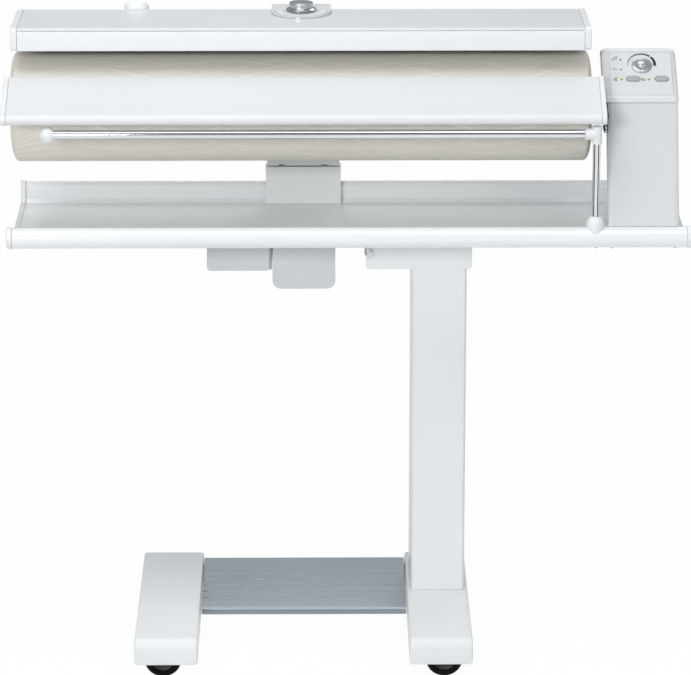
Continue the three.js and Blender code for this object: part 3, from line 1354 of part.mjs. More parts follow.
function liftFairing() {
  const frontY = LIP_FRONT_Y - 8;
  const outline = [
    [frontY - 5, trayFloorZ + SEAT_GAP],
    [LIP_FRONT_Y - 5.5, trayFloorZ + SEAT_GAP],
    [LIP_FRONT_Y - 0.5, trayFloorZ + 5.5],
    [LIP_FRONT_Y - 0.5, lipTopZ + 0.8],
    [LIP_BACK_Y, lipTopZ + 0.8],
    [LIP_BACK_Y, fairingTopZ],
    [frontY, fairingTopZ],
    [frontY - 1, trayFloorZ + 28],
    [frontY - 3, trayFloorZ + 12],
  ];
  const body = alongX(outline, ARM_LEFT_X - 2, ARM_RIGHT_X + 2);
  const earOutline = [
    [LIFT_PIVOT_Y - 6, fairingTopZ - 2],
    [LIP_BACK_Y, fairingTopZ - 2],
    ...arc(LIFT_PIVOT_Y, pivotZ, LIFT_PIN_RADIUS + 2, 0, 180, 6),
  ];
  const ears = earPlaces.map((x) => alongX(earOutline, x, x + EAR_WIDTH));
  const bore = rodX(LIFT_PIN_RADIUS + SEAT_GAP, ARM_LEFT_X - 3, ARM_RIGHT_X + 3, LIFT_PIVOT_Y, pivotZ);
  return cut(join(body, ...ears), bore);
}

addPiece('lift_fairing', liftFairing(), 'greyWhite');
addPiece('lift_pin', rodX(LIFT_PIN_RADIUS, ARM_LEFT_X, ARM_RIGHT_X, LIFT_PIVOT_Y, pivotZ), 'steel');

// ---- Pressing head, drawn lifted off the roller ------------------------------------------------------
// Where a point of the closed head lies once the head has swung back about its pivot.
function lifted(y, z) {
  const angle = radians(LIFT_ANGLE_DEG);
  const backY = y - LIFT_PIVOT_Y;
  const riseZ = z - pivotZ;
  return [
    LIFT_PIVOT_Y + backY * Math.cos(angle) + riseZ * Math.sin(angle),
    pivotZ - backY * Math.sin(angle) + riseZ * Math.cos(angle),
  ];
}

const [shoeY, shoeZ] = lifted(ROLLER_Y, rollerZ);
const coverLeftX = ROLLER_LEFT_X + COVER_END_INSET;
const coverRightX = ROLLER_RIGHT_X - COVER_END_INSET;
const capInnerLeftX = coverLeftX + COVER_CAP_THICKNESS;
const capInnerRightX = coverRightX - COVER_CAP_THICKNESS;
const shoeLeftX = capInnerLeftX + SEAT_GAP;
const shoeRightX = capInnerRightX - SEAT_GAP;
const coverRidgeY = shoeY + COVER_RIDGE_SETBACK;
const coverRidgeZ = coverTopZ - COVER_RIDGE_DROP;
const coverBackY = shoeY + shoeBackRadius + COVER_BACK_ROOM;
const coverSkirtZ = shoeZ + COVER_SKIRT_RISE;
const coverBendZ = coverSkirtZ + COVER_BACK_FLAT;
const guardPinY = COVER_FRONT_Y + GUARD_THICKNESS / 2;
const guardPinZ = coverBottomZ + GUARD_HEIGHT;

function pressingShoe() {
  return alongX([
    ...arc(shoeY, shoeZ, shoeBackRadius, SHOE_FROM_DEG, SHOE_TO_DEG, 14),
    ...arc(shoeY, shoeZ, shoeRadius, SHOE_TO_DEG, SHOE_FROM_DEG, 16),
  ], shoeLeftX, shoeRightX);
}

// A hairpin rod that lies on the back of the shoe.
function heatingElement() {
  const reach = shoeBackRadius + HEATER_ROD_RADIUS + SEAT_GAP;
  const runs = [HEATER_ANGLE_DEG, HEATER_ANGLE_DEG + HEATER_SPREAD_DEG].map((angleDeg) => {
    const y = shoeY + reach * Math.cos(radians(angleDeg));
    const z = shoeZ + reach * Math.sin(radians(angleDeg));
    return { y, z, rod: rodX(HEATER_ROD_RADIUS, shoeLeftX + 20, shoeRightX - 20, y, z, 12) };
  });
  const bridge = alongX([
    ...arc(shoeY, shoeZ, reach - 2, HEATER_ANGLE_DEG, HEATER_ANGLE_DEG + HEATER_SPREAD_DEG, 3),
    ...arc(shoeY, shoeZ, reach + 2, HEATER_ANGLE_DEG + HEATER_SPREAD_DEG, HEATER_ANGLE_DEG, 3),
  ].reverse(), shoeLeftX + 20, shoeLeftX + 28);
  return join(...runs.map(({ rod }) => rod), bridge);
}

// The arm swings on the lift pin and reaches up behind the roller to the back of the shoe.
function pressingArm() {
  const contact = shoeBackRadius + SEAT_GAP + 0.5;
  const rootFrontY = LIP_BACK_Y - ARM_ROOT_DEPTH;
  const rootBackY = LIP_BACK_Y + ARM_ROOT_PROUD;
  const bottomZ = fairingTopZ + 1.7;
  const outline = [
    [rootFrontY, bottomZ],
    [rootBackY, bottomZ],
    [rootBackY, pivotZ + 14],
    [LIFT_PIVOT_Y - 12, shoeZ - 65],
    [coverBackY - 4, shoeZ - 15],
    [coverBackY - 4, shoeZ + 32],
    [coverBackY - 12, shoeZ + 54],
    ...arc(shoeY, shoeZ, contact, 40, -3, 5),
    [shoeY + contact + 1, shoeZ - 32],
    [LIP_BACK_Y - 35, shoeZ - 75],
    [rootFrontY, pivotZ + 8],
  ];
  const body = alongX(outline, ARM_LEFT_X, ARM_RIGHT_X);
  const tail = box(
    plungerX - TAIL_WIDTH / 2, plungerX + TAIL_WIDTH / 2, tailFrontY, tailFrontY + TAIL_THICKNESS,
    plungerZ - PLUNGER_RADIUS - 3, pivotZ,
  );
  const earRooms = earPlaces.map((x) => box(
    x - 0.5, x + EAR_WIDTH + 0.5, rootFrontY + ARM_SKIN, rootBackY + 1, bottomZ - 1, pivotZ + 9,
  ));
  const notches = earPlaces.map((x) => box(
    x, x + EAR_WIDTH, rootFrontY - 1, rootFrontY + ARM_SKIN + 1, bottomZ - 1, bottomZ + ARM_NOTCH_HEIGHT,
  ));
  const bore = rodX(LIFT_PIN_RADIUS + RUN_CLEARANCE, ARM_LEFT_X - 1, ARM_RIGHT_X + 1, LIFT_PIVOT_Y, pivotZ);
  return cut(join(body, tail), ...earRooms, ...notches, bore);
}

// The cover's section from its front edge over the top and down the back.
const coverLine = [
  [COVER_FRONT_Y, guardPinZ + 3.4],
  [COVER_FRONT_Y + 4, coverTopZ],
  [coverRidgeY, coverRidgeZ],
  ...arc(coverRidgeY, coverBendZ, coverBackY - coverRidgeY, 75, 0, 5, coverRidgeZ - coverBendZ),
  [coverBackY, coverSkirtZ],
];

const coverTopSlope = (coverRidgeZ - coverTopZ) / (coverRidgeY - COVER_FRONT_Y - 4);
const fillerTilt = radians(FILLER_TILT_DEG);
const fillerSeatZ = coverRidgeZ - FILLER_SINK;
const filler = new THREE.Group();
filler.position.set(FILLER_X, FILLER_Y, fillerSeatZ);
filler.rotation.x = -fillerTilt;
ironer.add(filler);
filler.updateMatrix();

function onFiller(geometry) {
  return geometry.clone().applyMatrix4(filler.matrix);
}

const spindleX = (ROLLER_LEFT_X + ROLLER_RIGHT_X) / 2;

function coverTopAt(y) {
  return coverTopZ + coverTopSlope * (y - COVER_FRONT_Y - 4);
}

function pressingCover() {
  const sheet = alongX(ribbon([...coverLine].reverse(), COVER_SHEET), shoeLeftX, shoeRightX);
  const neckHole = onFiller(rodZ(FILLER_RADIUS + FILLER_OPENING_GAP, -20, 30, 0, 0));
  const spindleRoom = rodZ(STEAM_SPINDLE_RADIUS + 1, coverTopZ - 15, coverTopZ + 5, spindleX, DIAL_Y, 16);
  return cut(sheet, neckHole, spindleRoom);
}

function coverCap(x0) {
  const proud = COVER_CAP_PROUD;
  const outline = softened([
    [COVER_FRONT_Y - proud, coverBottomZ - proud, 8],
    [shoeY - 54, coverBottomZ - proud],
    ...arc(shoeY, shoeZ, COVER_CAP_INNER_RADIUS, 120, 15, 8),
    [coverBackY + proud, coverSkirtZ],
    ...arc(
      coverRidgeY, coverBendZ, coverBackY - coverRidgeY + proud, 0, 75, 5,
      coverRidgeZ - coverBendZ + proud,
    ),
    [coverRidgeY, coverRidgeZ + proud],
    [COVER_FRONT_Y - proud, coverTopZ + proud, 5],
  ], 4);
  const x1 = x0 + COVER_CAP_THICKNESS;
  const pinHole = rodX(GUARD_PIN_RADIUS + 2 * RUN_CLEARANCE, x0 - 1, x1 + 1, guardPinY, guardPinZ, 12);
  return cut(alongX(outline, x0, x1, 1.8), pinHole);
}

// A strip with a slightly bowed face that hangs from the cover's front edge.
function fingerGuard() {
  const topZ = guardPinZ + 1.2;
  const backY = COVER_FRONT_Y + GUARD_THICKNESS;
  const face = [];
  for (let i = 0; i <= GUARD_FACE_STEPS; i += 1) {
    const share = i / GUARD_FACE_STEPS;
    const bow = GUARD_BOW * (1 - (2 * share - 1) ** 2);
    face.push([COVER_FRONT_Y - bow, topZ - 0.6 + share * (coverBottomZ - topZ + 1.2)]);
  }
  const outline = [...face, [COVER_FRONT_Y + 0.6, coverBottomZ], [backY, coverBottomZ], [backY, topZ]];
  const strip = alongX([...outline, [COVER_FRONT_Y + 0.6, topZ]], shoeLeftX, shoeRightX);
  const pins = rodX(GUARD_PIN_RADIUS, shoeLeftX - 6, shoeRightX + 6, guardPinY, guardPinZ, 12);
  return join(strip, pins);
}

// A flat tank over the shoe, filled through a neck under the cap.
function waterTank() {
  const backY = FILLER_Y - TANK_BACK_SETBACK;
  const bottomZ = shoeZ + shoeBackRadius + SEAT_GAP;
  const topZ = coverTopAt(backY) - COVER_SHEET - TANK_ROOF_GAP;
  const neck = onFiller(rodZ(FILLER_NECK_RADIUS, -16, -SEAT_GAP, 0, 0));
  const bore = onFiller(rodZ(FILLER_NECK_RADIUS - TANK_WALL, -13, 1, 0, 0));
  return cut(
    join(box(TANK_LEFT_X, TANK_RIGHT_X, shoeY, backY, bottomZ, topZ), neck),
    box(
      TANK_LEFT_X + TANK_WALL, TANK_RIGHT_X - TANK_WALL, shoeY + TANK_WALL, backY - TANK_WALL,
      bottomZ + TANK_WALL, topZ - TANK_WALL,
    ),
    bore,
  );
}

function fillerCap() {
  return turned([
    [0, -8],
    [FILLER_NECK_RADIUS - TANK_WALL - SEAT_GAP, -8],
    [FILLER_NECK_RADIUS - TANK_WALL - SEAT_GAP, 0],
    [FILLER_RADIUS, 0],
    [FILLER_RADIUS, FILLER_HEIGHT - 4],
    [FILLER_RADIUS - 3, FILLER_HEIGHT - 0.6],
    [0, FILLER_HEIGHT],
  ], 'z', 24);
}

// A half-round dial plate whose top rises towards the back.
function dialBase() {
  const plan = [
    ...arc(spindleX, DIAL_Y, DIAL_RADIUS, 180, 360, 14),
    [spindleX + DIAL_RADIUS, DIAL_BACK_Y],
    [spindleX - DIAL_RADIUS, DIAL_BACK_Y],
  ];
  const frontY = DIAL_Y - DIAL_RADIUS - 2;
  const wedge = [
    [frontY, coverTopAt(frontY) + SEAT_GAP + 0.2],
    [DIAL_BACK_Y + 2, coverTopAt(DIAL_BACK_Y + 2) + SEAT_GAP + 0.2],
    [DIAL_BACK_Y + 2, coverTopAt(DIAL_BACK_Y + 2) + 7],
    [frontY, coverTopAt(frontY) + 2.4],
  ];
  const plate = common(
    alongZ(plan, coverTopZ - 20, coverTopZ + 20),
    alongX(wedge, spindleX - DIAL_RADIUS - 1, spindleX + DIAL_RADIUS + 1),
  );
  const bore = STEAM_SPINDLE_RADIUS + RUN_CLEARANCE;
  return cut(plate, rodZ(bore, coverTopZ - 20, coverTopZ + 20, spindleX, DIAL_Y, 16));
}

const steamKnobFootZ = coverTopAt(DIAL_Y) + 6.2;

function steamKnob() {
  return turned([
    [0, -8],
    [STEAM_SPINDLE_RADIUS, -8],
    [STEAM_SPINDLE_RADIUS, 0],
    [STEAM_SKIRT_RADIUS, 0],
    [STEAM_SKIRT_RADIUS, 0.8],
    [STEAM_KNOB_RADIUS + 0.5, 3],
    [STEAM_KNOB_RADIUS, STEAM_KNOB_HEIGHT - 1],
    [STEAM_KNOB_RADIUS - 1, STEAM_KNOB_HEIGHT],
    [0, STEAM_KNOB_HEIGHT + 1.2],
  ], 'z', 28);
}

addPiece('pressing_shoe', pressingShoe(), 'aluminium');
addPiece('heating_element', heatingElement(), 'steel');
addPiece('pressing_arm', pressingArm(), 'greyWhite');
addPiece('pressing_cover', pressingCover(), 'white');
addPiece('cover_cap_left', coverCap(coverLeftX), 'white');
addPiece('cover_cap_right', coverCap(capInnerRightX), 'white');
addPiece('finger_guard', fingerGuard(), 'white');
addPiece('water_tank', waterTank(), 'tank');
addPiece('filler_cap', fillerCap(), 'white', filler);
addPiece('dial_base', dialBase(), 'greyWhite');
addPiece('steam_knob', steamKnob(), 'silver').position.set(spindleX, DIAL_Y, steamKnobFootZ);

export default ironer;
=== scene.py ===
# %% [markdown]
# A household roller ironer stands on a wheeled pedestal: a padded roller turns under a heated, curved
# shoe, over a long laundry tray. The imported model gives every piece's place; this lesson gives each
# piece its rounded edges, its small details and its finish. Everything is in metres, +Z up, with +X
# along the roller towards the control tower and +Y away from the person who irons.

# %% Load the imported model
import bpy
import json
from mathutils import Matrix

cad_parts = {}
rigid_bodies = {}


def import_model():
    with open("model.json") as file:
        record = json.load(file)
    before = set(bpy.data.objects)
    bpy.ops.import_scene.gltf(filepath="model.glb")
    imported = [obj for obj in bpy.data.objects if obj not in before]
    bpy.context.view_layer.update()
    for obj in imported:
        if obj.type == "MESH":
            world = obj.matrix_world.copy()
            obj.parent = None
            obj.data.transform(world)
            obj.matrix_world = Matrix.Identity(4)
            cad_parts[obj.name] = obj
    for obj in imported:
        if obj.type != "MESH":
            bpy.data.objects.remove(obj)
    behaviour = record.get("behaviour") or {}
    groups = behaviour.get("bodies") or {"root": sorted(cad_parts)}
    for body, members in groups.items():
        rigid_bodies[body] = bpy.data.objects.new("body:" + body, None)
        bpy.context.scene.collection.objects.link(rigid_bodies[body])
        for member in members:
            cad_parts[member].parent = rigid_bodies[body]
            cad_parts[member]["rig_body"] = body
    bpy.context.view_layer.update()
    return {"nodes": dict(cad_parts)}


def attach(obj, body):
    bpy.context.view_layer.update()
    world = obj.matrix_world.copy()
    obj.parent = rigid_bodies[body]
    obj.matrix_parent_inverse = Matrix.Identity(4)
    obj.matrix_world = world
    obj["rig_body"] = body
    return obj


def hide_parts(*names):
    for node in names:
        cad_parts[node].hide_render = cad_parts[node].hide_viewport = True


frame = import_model()

# %% Blender's own modules
import json
from math import atan2, cos, hypot, pi, radians, sin
import bmesh
import bpy
from mathutils import Matrix, Vector

MM = 0.001
print("Blender", bpy.app.version_string)

# %% [markdown]
# The camera stands well back and looks down a little, as for a catalogue picture: a long lens keeps
# the feet and the tray nearly parallel. Its place was worked out from the object's known sizes.

# %% Camera
CAMERA_PLACE = (-0.0446, -5.419, 2.152)
CAMERA_DOWN = radians(17.285)
CAMERA_TURN = radians(0.438)
FOCAL_PIXELS, IMAGE_PIXELS = 3860.4, 691
camera_data = bpy.data.cameras.new("camera")
camera_data.sensor_width = 36
camera_data.lens = camera_data.sensor_width * FOCAL_PIXELS / IMAGE_PIXELS
camera = bpy.data.objects.new("camera", camera_data)
bpy.context.scene.collection.objects.link(camera)
camera.location = CAMERA_PLACE
camera.rotation_euler = (pi / 2 - CAMERA_DOWN, 0, -CAMERA_TURN)
bpy.context.scene.camera = camera
print("lens", round(camera_data.lens, 1), "mm")

# %% [markdown]
# Node trees are long when each node is written by hand. These two helpers place a node with its
# settings in one line, and join two sockets. A Mix node has a set of sockets for each kind of value, so
# those that mix two colours are known by their numbers.

# %% Helpers for node trees
MIX_A, MIX_B, MIX_RESULT = 6, 7, 2


def place(tree, kind, **settings):
    """Adds a node; a setting is one of its properties or, with _ for a space, one of its sockets."""
    made = tree.nodes.new(kind)
    for key, value in settings.items():
        if key in made.bl_rna.properties:
            setattr(made, key, value)
        else:
            made.inputs[key.replace("_", " ")].default_value = value
    return made


def join(tree, source, target):
    """Leads an output socket to an input socket."""
    tree.links.new(source, target)


def srgb(red, green, blue):
    """A colour as it looks on screen, 0 to 255, as the linear values that shaders use."""
    channels = (value / 255 for value in (red, green, blue))
    linear = [c / 12.92 if c <= 0.04045 else ((c + 0.055) / 1.055) ** 2.4 for c in channels]
    return (*linear, 1.0)

print("white plastic is", [round(c, 3) for c in srgb(236, 239, 241)])

# %% [markdown]
# The floor is a wide pale sheet. For what the camera sees directly, or in chrome, it is mixed with
# plain white, so it reads as a bright background that still holds the object's soft shadow.

# %% Floor
FLOOR_HALF = 14
FLOOR_WHITE_SHARE = 0.97
floor_form = bmesh.new()
bmesh.ops.create_grid(floor_form, x_segments=1, y_segments=1, size=FLOOR_HALF)
floor_mesh = bpy.data.meshes.new("floor")
floor_form.to_mesh(floor_mesh)
floor_form.free()
floor = bpy.data.objects.new("floor", floor_mesh)
bpy.context.scene.collection.objects.link(floor)

floor_paint = bpy.data.materials.new("floor_paint")
floor_paint.use_nodes = True
floor_tree = floor_paint.node_tree
floor_tree.nodes.clear()
floor_matt = place(floor_tree, "ShaderNodeBsdfDiffuse", Color=srgb(236, 236, 236))
floor_glow = place(floor_tree, "ShaderNodeEmission", Color=(1, 1, 1, 1), Strength=1.0)
floor_rays = place(floor_tree, "ShaderNodeLightPath")
seen = place(floor_tree, "ShaderNodeMath", operation="MAXIMUM")
seen_too = place(floor_tree, "ShaderNodeMath", operation="MAXIMUM")
share = place(floor_tree, "ShaderNodeMath", operation="MULTIPLY")
share.inputs[1].default_value = FLOOR_WHITE_SHARE
floor_mix = place(floor_tree, "ShaderNodeMixShader")
floor_out = place(floor_tree, "ShaderNodeOutputMaterial")
join(floor_tree, floor_rays.outputs["Is Camera Ray"], seen.inputs[0])
join(floor_tree, floor_rays.outputs["Is Glossy Ray"], seen.inputs[1])
join(floor_tree, seen.outputs[0], seen_too.inputs[0])
join(floor_tree, floor_rays.outputs["Is Transmission Ray"], seen_too.inputs[1])
join(floor_tree, seen_too.outputs[0], share.inputs[0])
join(floor_tree, share.outputs[0], floor_mix.inputs[0])
join(floor_tree, floor_matt.outputs[0], floor_mix.inputs[1])
join(floor_tree, floor_glow.outputs[0], floor_mix.inputs[2])
join(floor_tree, floor_mix.outputs[0], floor_out.inputs["Surface"])
floor_mesh.materials.append(floor_paint)
print("the floor is", 2 * FLOOR_HALF, "m wide")

# %% [markdown]
# White goods are lit softly from the front: a big softbox on the left gives the shapes their shading,
# a weaker one on the right opens the shadows, one overhead lifts the flat tops, and a pale room fills
# in the rest.

# %% Lamps and room
def softbox(name, place_at, look_at, size, power):
    """A rectangular lamp at one point that faces another, its power in watts."""
    data = bpy.data.lights.new(name, "AREA")
    data.shape = "RECTANGLE"
    data.size, data.size_y = size
    data.energy = power
    lamp = bpy.data.objects.new(name, data)
    bpy.context.scene.collection.objects.link(lamp)
    lamp.location = place_at
    lamp.rotation_euler = (Vector(look_at) - Vector(place_at)).to_track_quat("-Z", "Y").to_euler()


softbox("key_softbox", (-1.9, -4.8, 2.35), (0, 0, 0.75), (1.6, 0.8), 95)
softbox("fill_softbox", (3.2, -3.6, 1.6), (0, 0, 0.5), (1.6, 2.0), 20)
softbox("top_softbox", (-0.3, -0.9, 3.4), (0, 0.1, 0.6), (2.8, 1.4), 42)
softbox("back_softbox", (0.4, 2.8, 3.2), (0, 0, 0.7), (2.4, 1.0), 30)
room = bpy.data.worlds.new("room")
room.use_nodes = True
room.node_tree.nodes["Background"].inputs["Color"].default_value = srgb(240, 241, 242)
room.node_tree.nodes["Background"].inputs["Strength"].default_value = 0.4
bpy.context.scene.world = room
bpy.context.scene.view_settings.view_transform = "Standard"
print("four softboxes and a pale room")

# %% [markdown]
# Chrome only looks like chrome when it has something dark to mirror. Studios stand black cards just out
# of the picture; here they are black sheets that nothing sees but a mirror ray.

# %% Black cards
def black_card(name, low, high):
    """A flat black sheet between two opposite corners; one of the three extents is nothing."""
    form = bmesh.new()
    bmesh.ops.create_cube(form, size=1)
    spread = Vector(high) - Vector(low)
    bmesh.ops.scale(form, vec=[max(extent, 0.002) for extent in spread], verts=form.verts)
    bmesh.ops.translate(form, vec=(Vector(low) + Vector(high)) / 2, verts=form.verts)
    mesh = bpy.data.meshes.new(name)
    form.to_mesh(mesh)
    form.free()
    mesh.materials.append(card_black)
    card = bpy.data.objects.new(name, mesh)
    bpy.context.scene.collection.objects.link(card)
    card.visible_camera = False
    card.visible_diffuse = False
    card.visible_transmission = False
    card.visible_shadow = False


card_black = bpy.data.materials.new("card_black")
card_black.use_nodes = True
card_black.node_tree.nodes["Principled BSDF"].inputs["Base Color"].default_value = (0.01, 0.01, 0.012, 1)
black_card("card_high", (-1.3, -2.7, 2.12), (1.3, -2.7, 3.06))
black_card("card_left", (-0.85, -1.2, 0.02), (-0.85, -0.3, 1.2))
black_card("card_right", (1.4, -1.33, 0.02), (1.4, -0.4, 1.2))
print("three black cards")

# %% [markdown]
# Two effects recur on this machine, so each is a node group with named inputs, built once and placed in
# every finish that needs it. Moulded plastic and powder coat have a fine grain and are never quite one
# even colour; drawn and rolled metal has long faint streaks.

# %% Shader group: grain and uneven tone
def new_group(name, inputs, outputs):
    """An empty node group with named sockets, and the nodes that stand for its two ends."""
    tree = bpy.data.node_groups.new(name, "ShaderNodeTree")
    for label, kind, value in inputs:
        socket = tree.interface.new_socket(name=label, in_out="INPUT", socket_type=kind)
        socket.default_value = value
    for label, kind in outputs:
        tree.interface.new_socket(name=label, in_out="OUTPUT", socket_type=kind)
    return tree, place(tree, "NodeGroupInput"), place(tree, "NodeGroupOutput")


FLOAT, COLOUR, VECTOR = "NodeSocketFloat", "NodeSocketColor", "NodeSocketVector"
grain, grain_in, grain_out = new_group(
    "grained_surface",
    [("Colour", COLOUR, (0.8, 0.8, 0.8, 1)), ("Shade", COLOUR, (0.7, 0.7, 0.7, 1)),
     ("Grain Scale", FLOAT, 900.0), ("Tone Scale", FLOAT, 3.0),
     ("Roughness", FLOAT, 0.4), ("Roughness Spread", FLOAT, 0.1)],
    [("Colour", COLOUR), ("Roughness", FLOAT), ("Height", FLOAT)],
)
at = place(grain, "ShaderNodeTexCoord")
fine = place(grain, "ShaderNodeTexNoise", Detail=3.0, Roughness=0.6)
broad = place(grain, "ShaderNodeTexNoise", Detail=4.0, Roughness=0.55)
smudge = place(grain, "ShaderNodeTexNoise", Scale=14.0, Detail=5.0, Roughness=0.65)
tone = place(grain, "ShaderNodeMapRange", From_Min=0.35, From_Max=0.68)
blend_tone = place(grain, "ShaderNodeMix", data_type="RGBA")
offset = place(grain, "ShaderNodeMath", operation="SUBTRACT")
offset.inputs[1].default_value = 0.5
scaled = place(grain, "ShaderNodeMath", operation="MULTIPLY")
summed = place(grain, "ShaderNodeMath", operation="ADD", use_clamp=True)
for texture in (fine, broad, smudge):
    join(grain, at.outputs["Object"], texture.inputs["Vector"])
join(grain, grain_in.outputs["Grain Scale"], fine.inputs["Scale"])
join(grain, grain_in.outputs["Tone Scale"], broad.inputs["Scale"])
join(grain, broad.outputs[0], tone.inputs["Value"])
join(grain, tone.outputs[0], blend_tone.inputs["Factor"])
join(grain, grain_in.outputs["Colour"], blend_tone.inputs[MIX_A])
join(grain, grain_in.outputs["Shade"], blend_tone.inputs[MIX_B])
join(grain, smudge.outputs[0], offset.inputs[0])
join(grain, offset.outputs[0], scaled.inputs[0])
join(grain, grain_in.outputs["Roughness Spread"], scaled.inputs[1])
join(grain, scaled.outputs[0], summed.inputs[0])
join(grain, grain_in.outputs["Roughness"], summed.inputs[1])
join(grain, blend_tone.outputs[MIX_RESULT], grain_out.inputs["Colour"])
join(grain, summed.outputs[0], grain_out.inputs["Roughness"])
join(grain, fine.outputs[0], grain_out.inputs["Height"])
print("group", grain.name)

# %% Shader group: streaks of drawn metal
STREAK_CONTRAST = 0.9
streaks, streaks_in, streaks_out = new_group(
    "drawn_metal",
    [("Colour", COLOUR, (0.6, 0.6, 0.6, 1)), ("Shade", COLOUR, (0.5, 0.5, 0.5, 1)),
     ("Stretch", VECTOR, (4.0, 900.0, 900.0)), ("Roughness", FLOAT, 0.3), ("Roughness Spread", FLOAT, 0.2)],
    [("Colour", COLOUR), ("Roughness", FLOAT), ("Height", FLOAT)],
)
at = place(streaks, "ShaderNodeTexCoord")
stretch = place(streaks, "ShaderNodeVectorMath", operation="MULTIPLY")
lines = place(streaks, "ShaderNodeTexNoise", Scale=1.0, Detail=4.0, Roughness=0.6)
cloud = place(streaks, "ShaderNodeTexNoise", Scale=5.0, Detail=3.0)
blend_streak = place(streaks, "ShaderNodeMix", data_type="RGBA")
add_cloud = place(streaks, "ShaderNodeMath", operation="ADD")
centred = place(streaks, "ShaderNodeMath", operation="MULTIPLY_ADD")
centred.inputs[1].default_value = STREAK_CONTRAST
centred.inputs[2].default_value = -STREAK_CONTRAST / 2
scaled = place(streaks, "ShaderNodeMath", operation="MULTIPLY")
summed = place(streaks, "ShaderNodeMath", operation="ADD", use_clamp=True)
join(streaks, at.outputs["Object"], stretch.inputs[0])
join(streaks, streaks_in.outputs["Stretch"], stretch.inputs[1])
join(streaks, stretch.outputs[0], lines.inputs["Vector"])
join(streaks, at.outputs["Object"], cloud.inputs["Vector"])
join(streaks, lines.outputs[0], add_cloud.inputs[0])
join(streaks, cloud.outputs[0], add_cloud.inputs[1])
join(streaks, add_cloud.outputs[0], centred.inputs[0])
join(streaks, centred.outputs[0], blend_streak.inputs["Factor"])
join(streaks, streaks_in.outputs["Colour"], blend_streak.inputs[MIX_A])
join(streaks, streaks_in.outputs["Shade"], blend_streak.inputs[MIX_B])
join(streaks, lines.outputs[0], scaled.inputs[0])
join(streaks, streaks_in.outputs["Roughness Spread"], scaled.inputs[1])
join(streaks, scaled.outputs[0], summed.inputs[0])
join(streaks, streaks_in.outputs["Roughness"], summed.inputs[1])
join(streaks, blend_streak.outputs[MIX_RESULT], streaks_out.inputs["Colour"])
join(streaks, summed.outputs[0], streaks_out.inputs["Roughness"])
join(streaks, lines.outputs[0], streaks_out.inputs["Height"])
print("group", streaks.name)

# %% [markdown]
# A finish is one Principled shader fed by a group. What is the same all over the surface, such as the
# coat's roughness, sits on the shader itself; only what varies comes from the group.

# %% Finishes from the groups
def finish(name, group, bump_height, bump_strength, group_values, **shader_values):
    """A material whose colour, roughness and bump come from a group; _ stands for a space."""
    material = bpy.data.materials.new(name)
    material.use_nodes = True
    tree = material.node_tree
    shader = tree.nodes["Principled BSDF"]
    for key, value in shader_values.items():
        shader.inputs[key.replace("_", " ")].default_value = value
    effect = place(tree, "ShaderNodeGroup", node_tree=group)
    for key, value in group_values.items():
        effect.inputs[key.replace("_", " ")].default_value = value
    bump = place(tree, "ShaderNodeBump", Strength=bump_strength, Distance=bump_height)
    join(tree, effect.outputs["Colour"], shader.inputs["Base Color"])
    join(tree, effect.outputs["Roughness"], shader.inputs["Roughness"])
    join(tree, effect.outputs["Height"], bump.inputs["Height"])
    join(tree, bump.outputs["Normal"], shader.inputs["Normal"])
    return material


def grained(name, colour, shade, scale, height, roughness, spread=0.1, strength=0.35, **shader_values):
    """A moulded, painted, rubber or felt finish between two close tones."""
    values = dict(Colour=srgb(*colour), Shade=srgb(*shade), Grain_Scale=scale, Roughness=roughness)
    return finish(name, grain, height, strength, {**values, "Roughness Spread": spread}, **shader_values)


def drawn(name, colour, shade, stretch, roughness, spread=0.15, **shader_values):
    """A metal finish with streaks; the stretch is how fine they are along X, Y and Z."""
    values = dict(Colour=srgb(*colour), Shade=srgb(*shade), Stretch=stretch, Roughness=roughness)
    return finish(name, streaks, 0.00004, 0.3, {**values, "Roughness Spread": spread}, **shader_values)


powder_white = grained("powder_white", (238, 242, 244), (233, 237, 239), 700, 0.00025, 0.36, 0.14)
tray_white = grained("tray_white", (242, 245, 247), (237, 240, 243), 260, 0.00015, 0.22, 0.1, 0.2,
                     Coat_Weight=0.25, Coat_Roughness=0.12)
moulded_white = grained("moulded_white", (238, 241, 243), (233, 236, 238), 1100, 0.0002, 0.33, 0.12)
tower_gloss = grained("tower_gloss", (219, 223, 226), (214, 218, 221), 500, 0.0001, 0.16, 0.06, 0.15,
                      Coat_Weight=0.3, Coat_Roughness=0.06)
head_white = grained("head_white", (219, 223, 226), (214, 218, 221), 1100, 0.0002, 0.3, 0.1)
moulded_grey = grained("moulded_grey", (211, 215, 219), (203, 207, 211), 1100, 0.0002, 0.42, 0.12)
fascia_film = grained("fascia_film", (222, 226, 228), (218, 222, 224), 1400, 0.00008, 0.28, 0.06, 0.15)
cover_lacquer = grained("cover_lacquer", (226, 231, 233), (220, 225, 227), 500, 0.00012, 0.3, 0.1, 0.2)
silver_lacquer = grained("silver_lacquer", (196, 199, 205), (184, 187, 194), 1500, 0.00002, 0.34, 0.06,
                         Metallic=0.6)
feed_white = grained("feed_white", (232, 234, 236), (228, 230, 232), 300, 0.00012, 0.3, 0.08, 0.15)
knob_lid = grained("knob_lid", (136, 143, 151), (122, 129, 138), 1400, 0.00006, 0.24, 0.08, Metallic=0.4)
turned_silver = drawn("turned_silver", (206, 210, 216), (180, 185, 192), (300, 300, 6), 0.18, 0.12,
                      Metallic=1.0)
button_grey = grained("button_grey", (184, 187, 193), (174, 177, 184), 1300, 0.00008, 0.34, 0.1,
                      Metallic=0.15)
# Grey print for the panel's signs; on the steam dial's plate the same grey is painted shade in the groove
# and at the edge.
print_and_painted_shade = grained("print_and_painted_shade", (98, 100, 106), (86, 88, 94), 1500, 0.00003, 0.5, 0.08)
scale_print = grained("scale_print", (34, 38, 42), (26, 29, 33), 1500, 0.00003, 0.4, 0.08)
lamp_lens = grained("lamp_lens", (122, 104, 58), (96, 80, 44), 900, 0.00003, 0.2, 0.05)
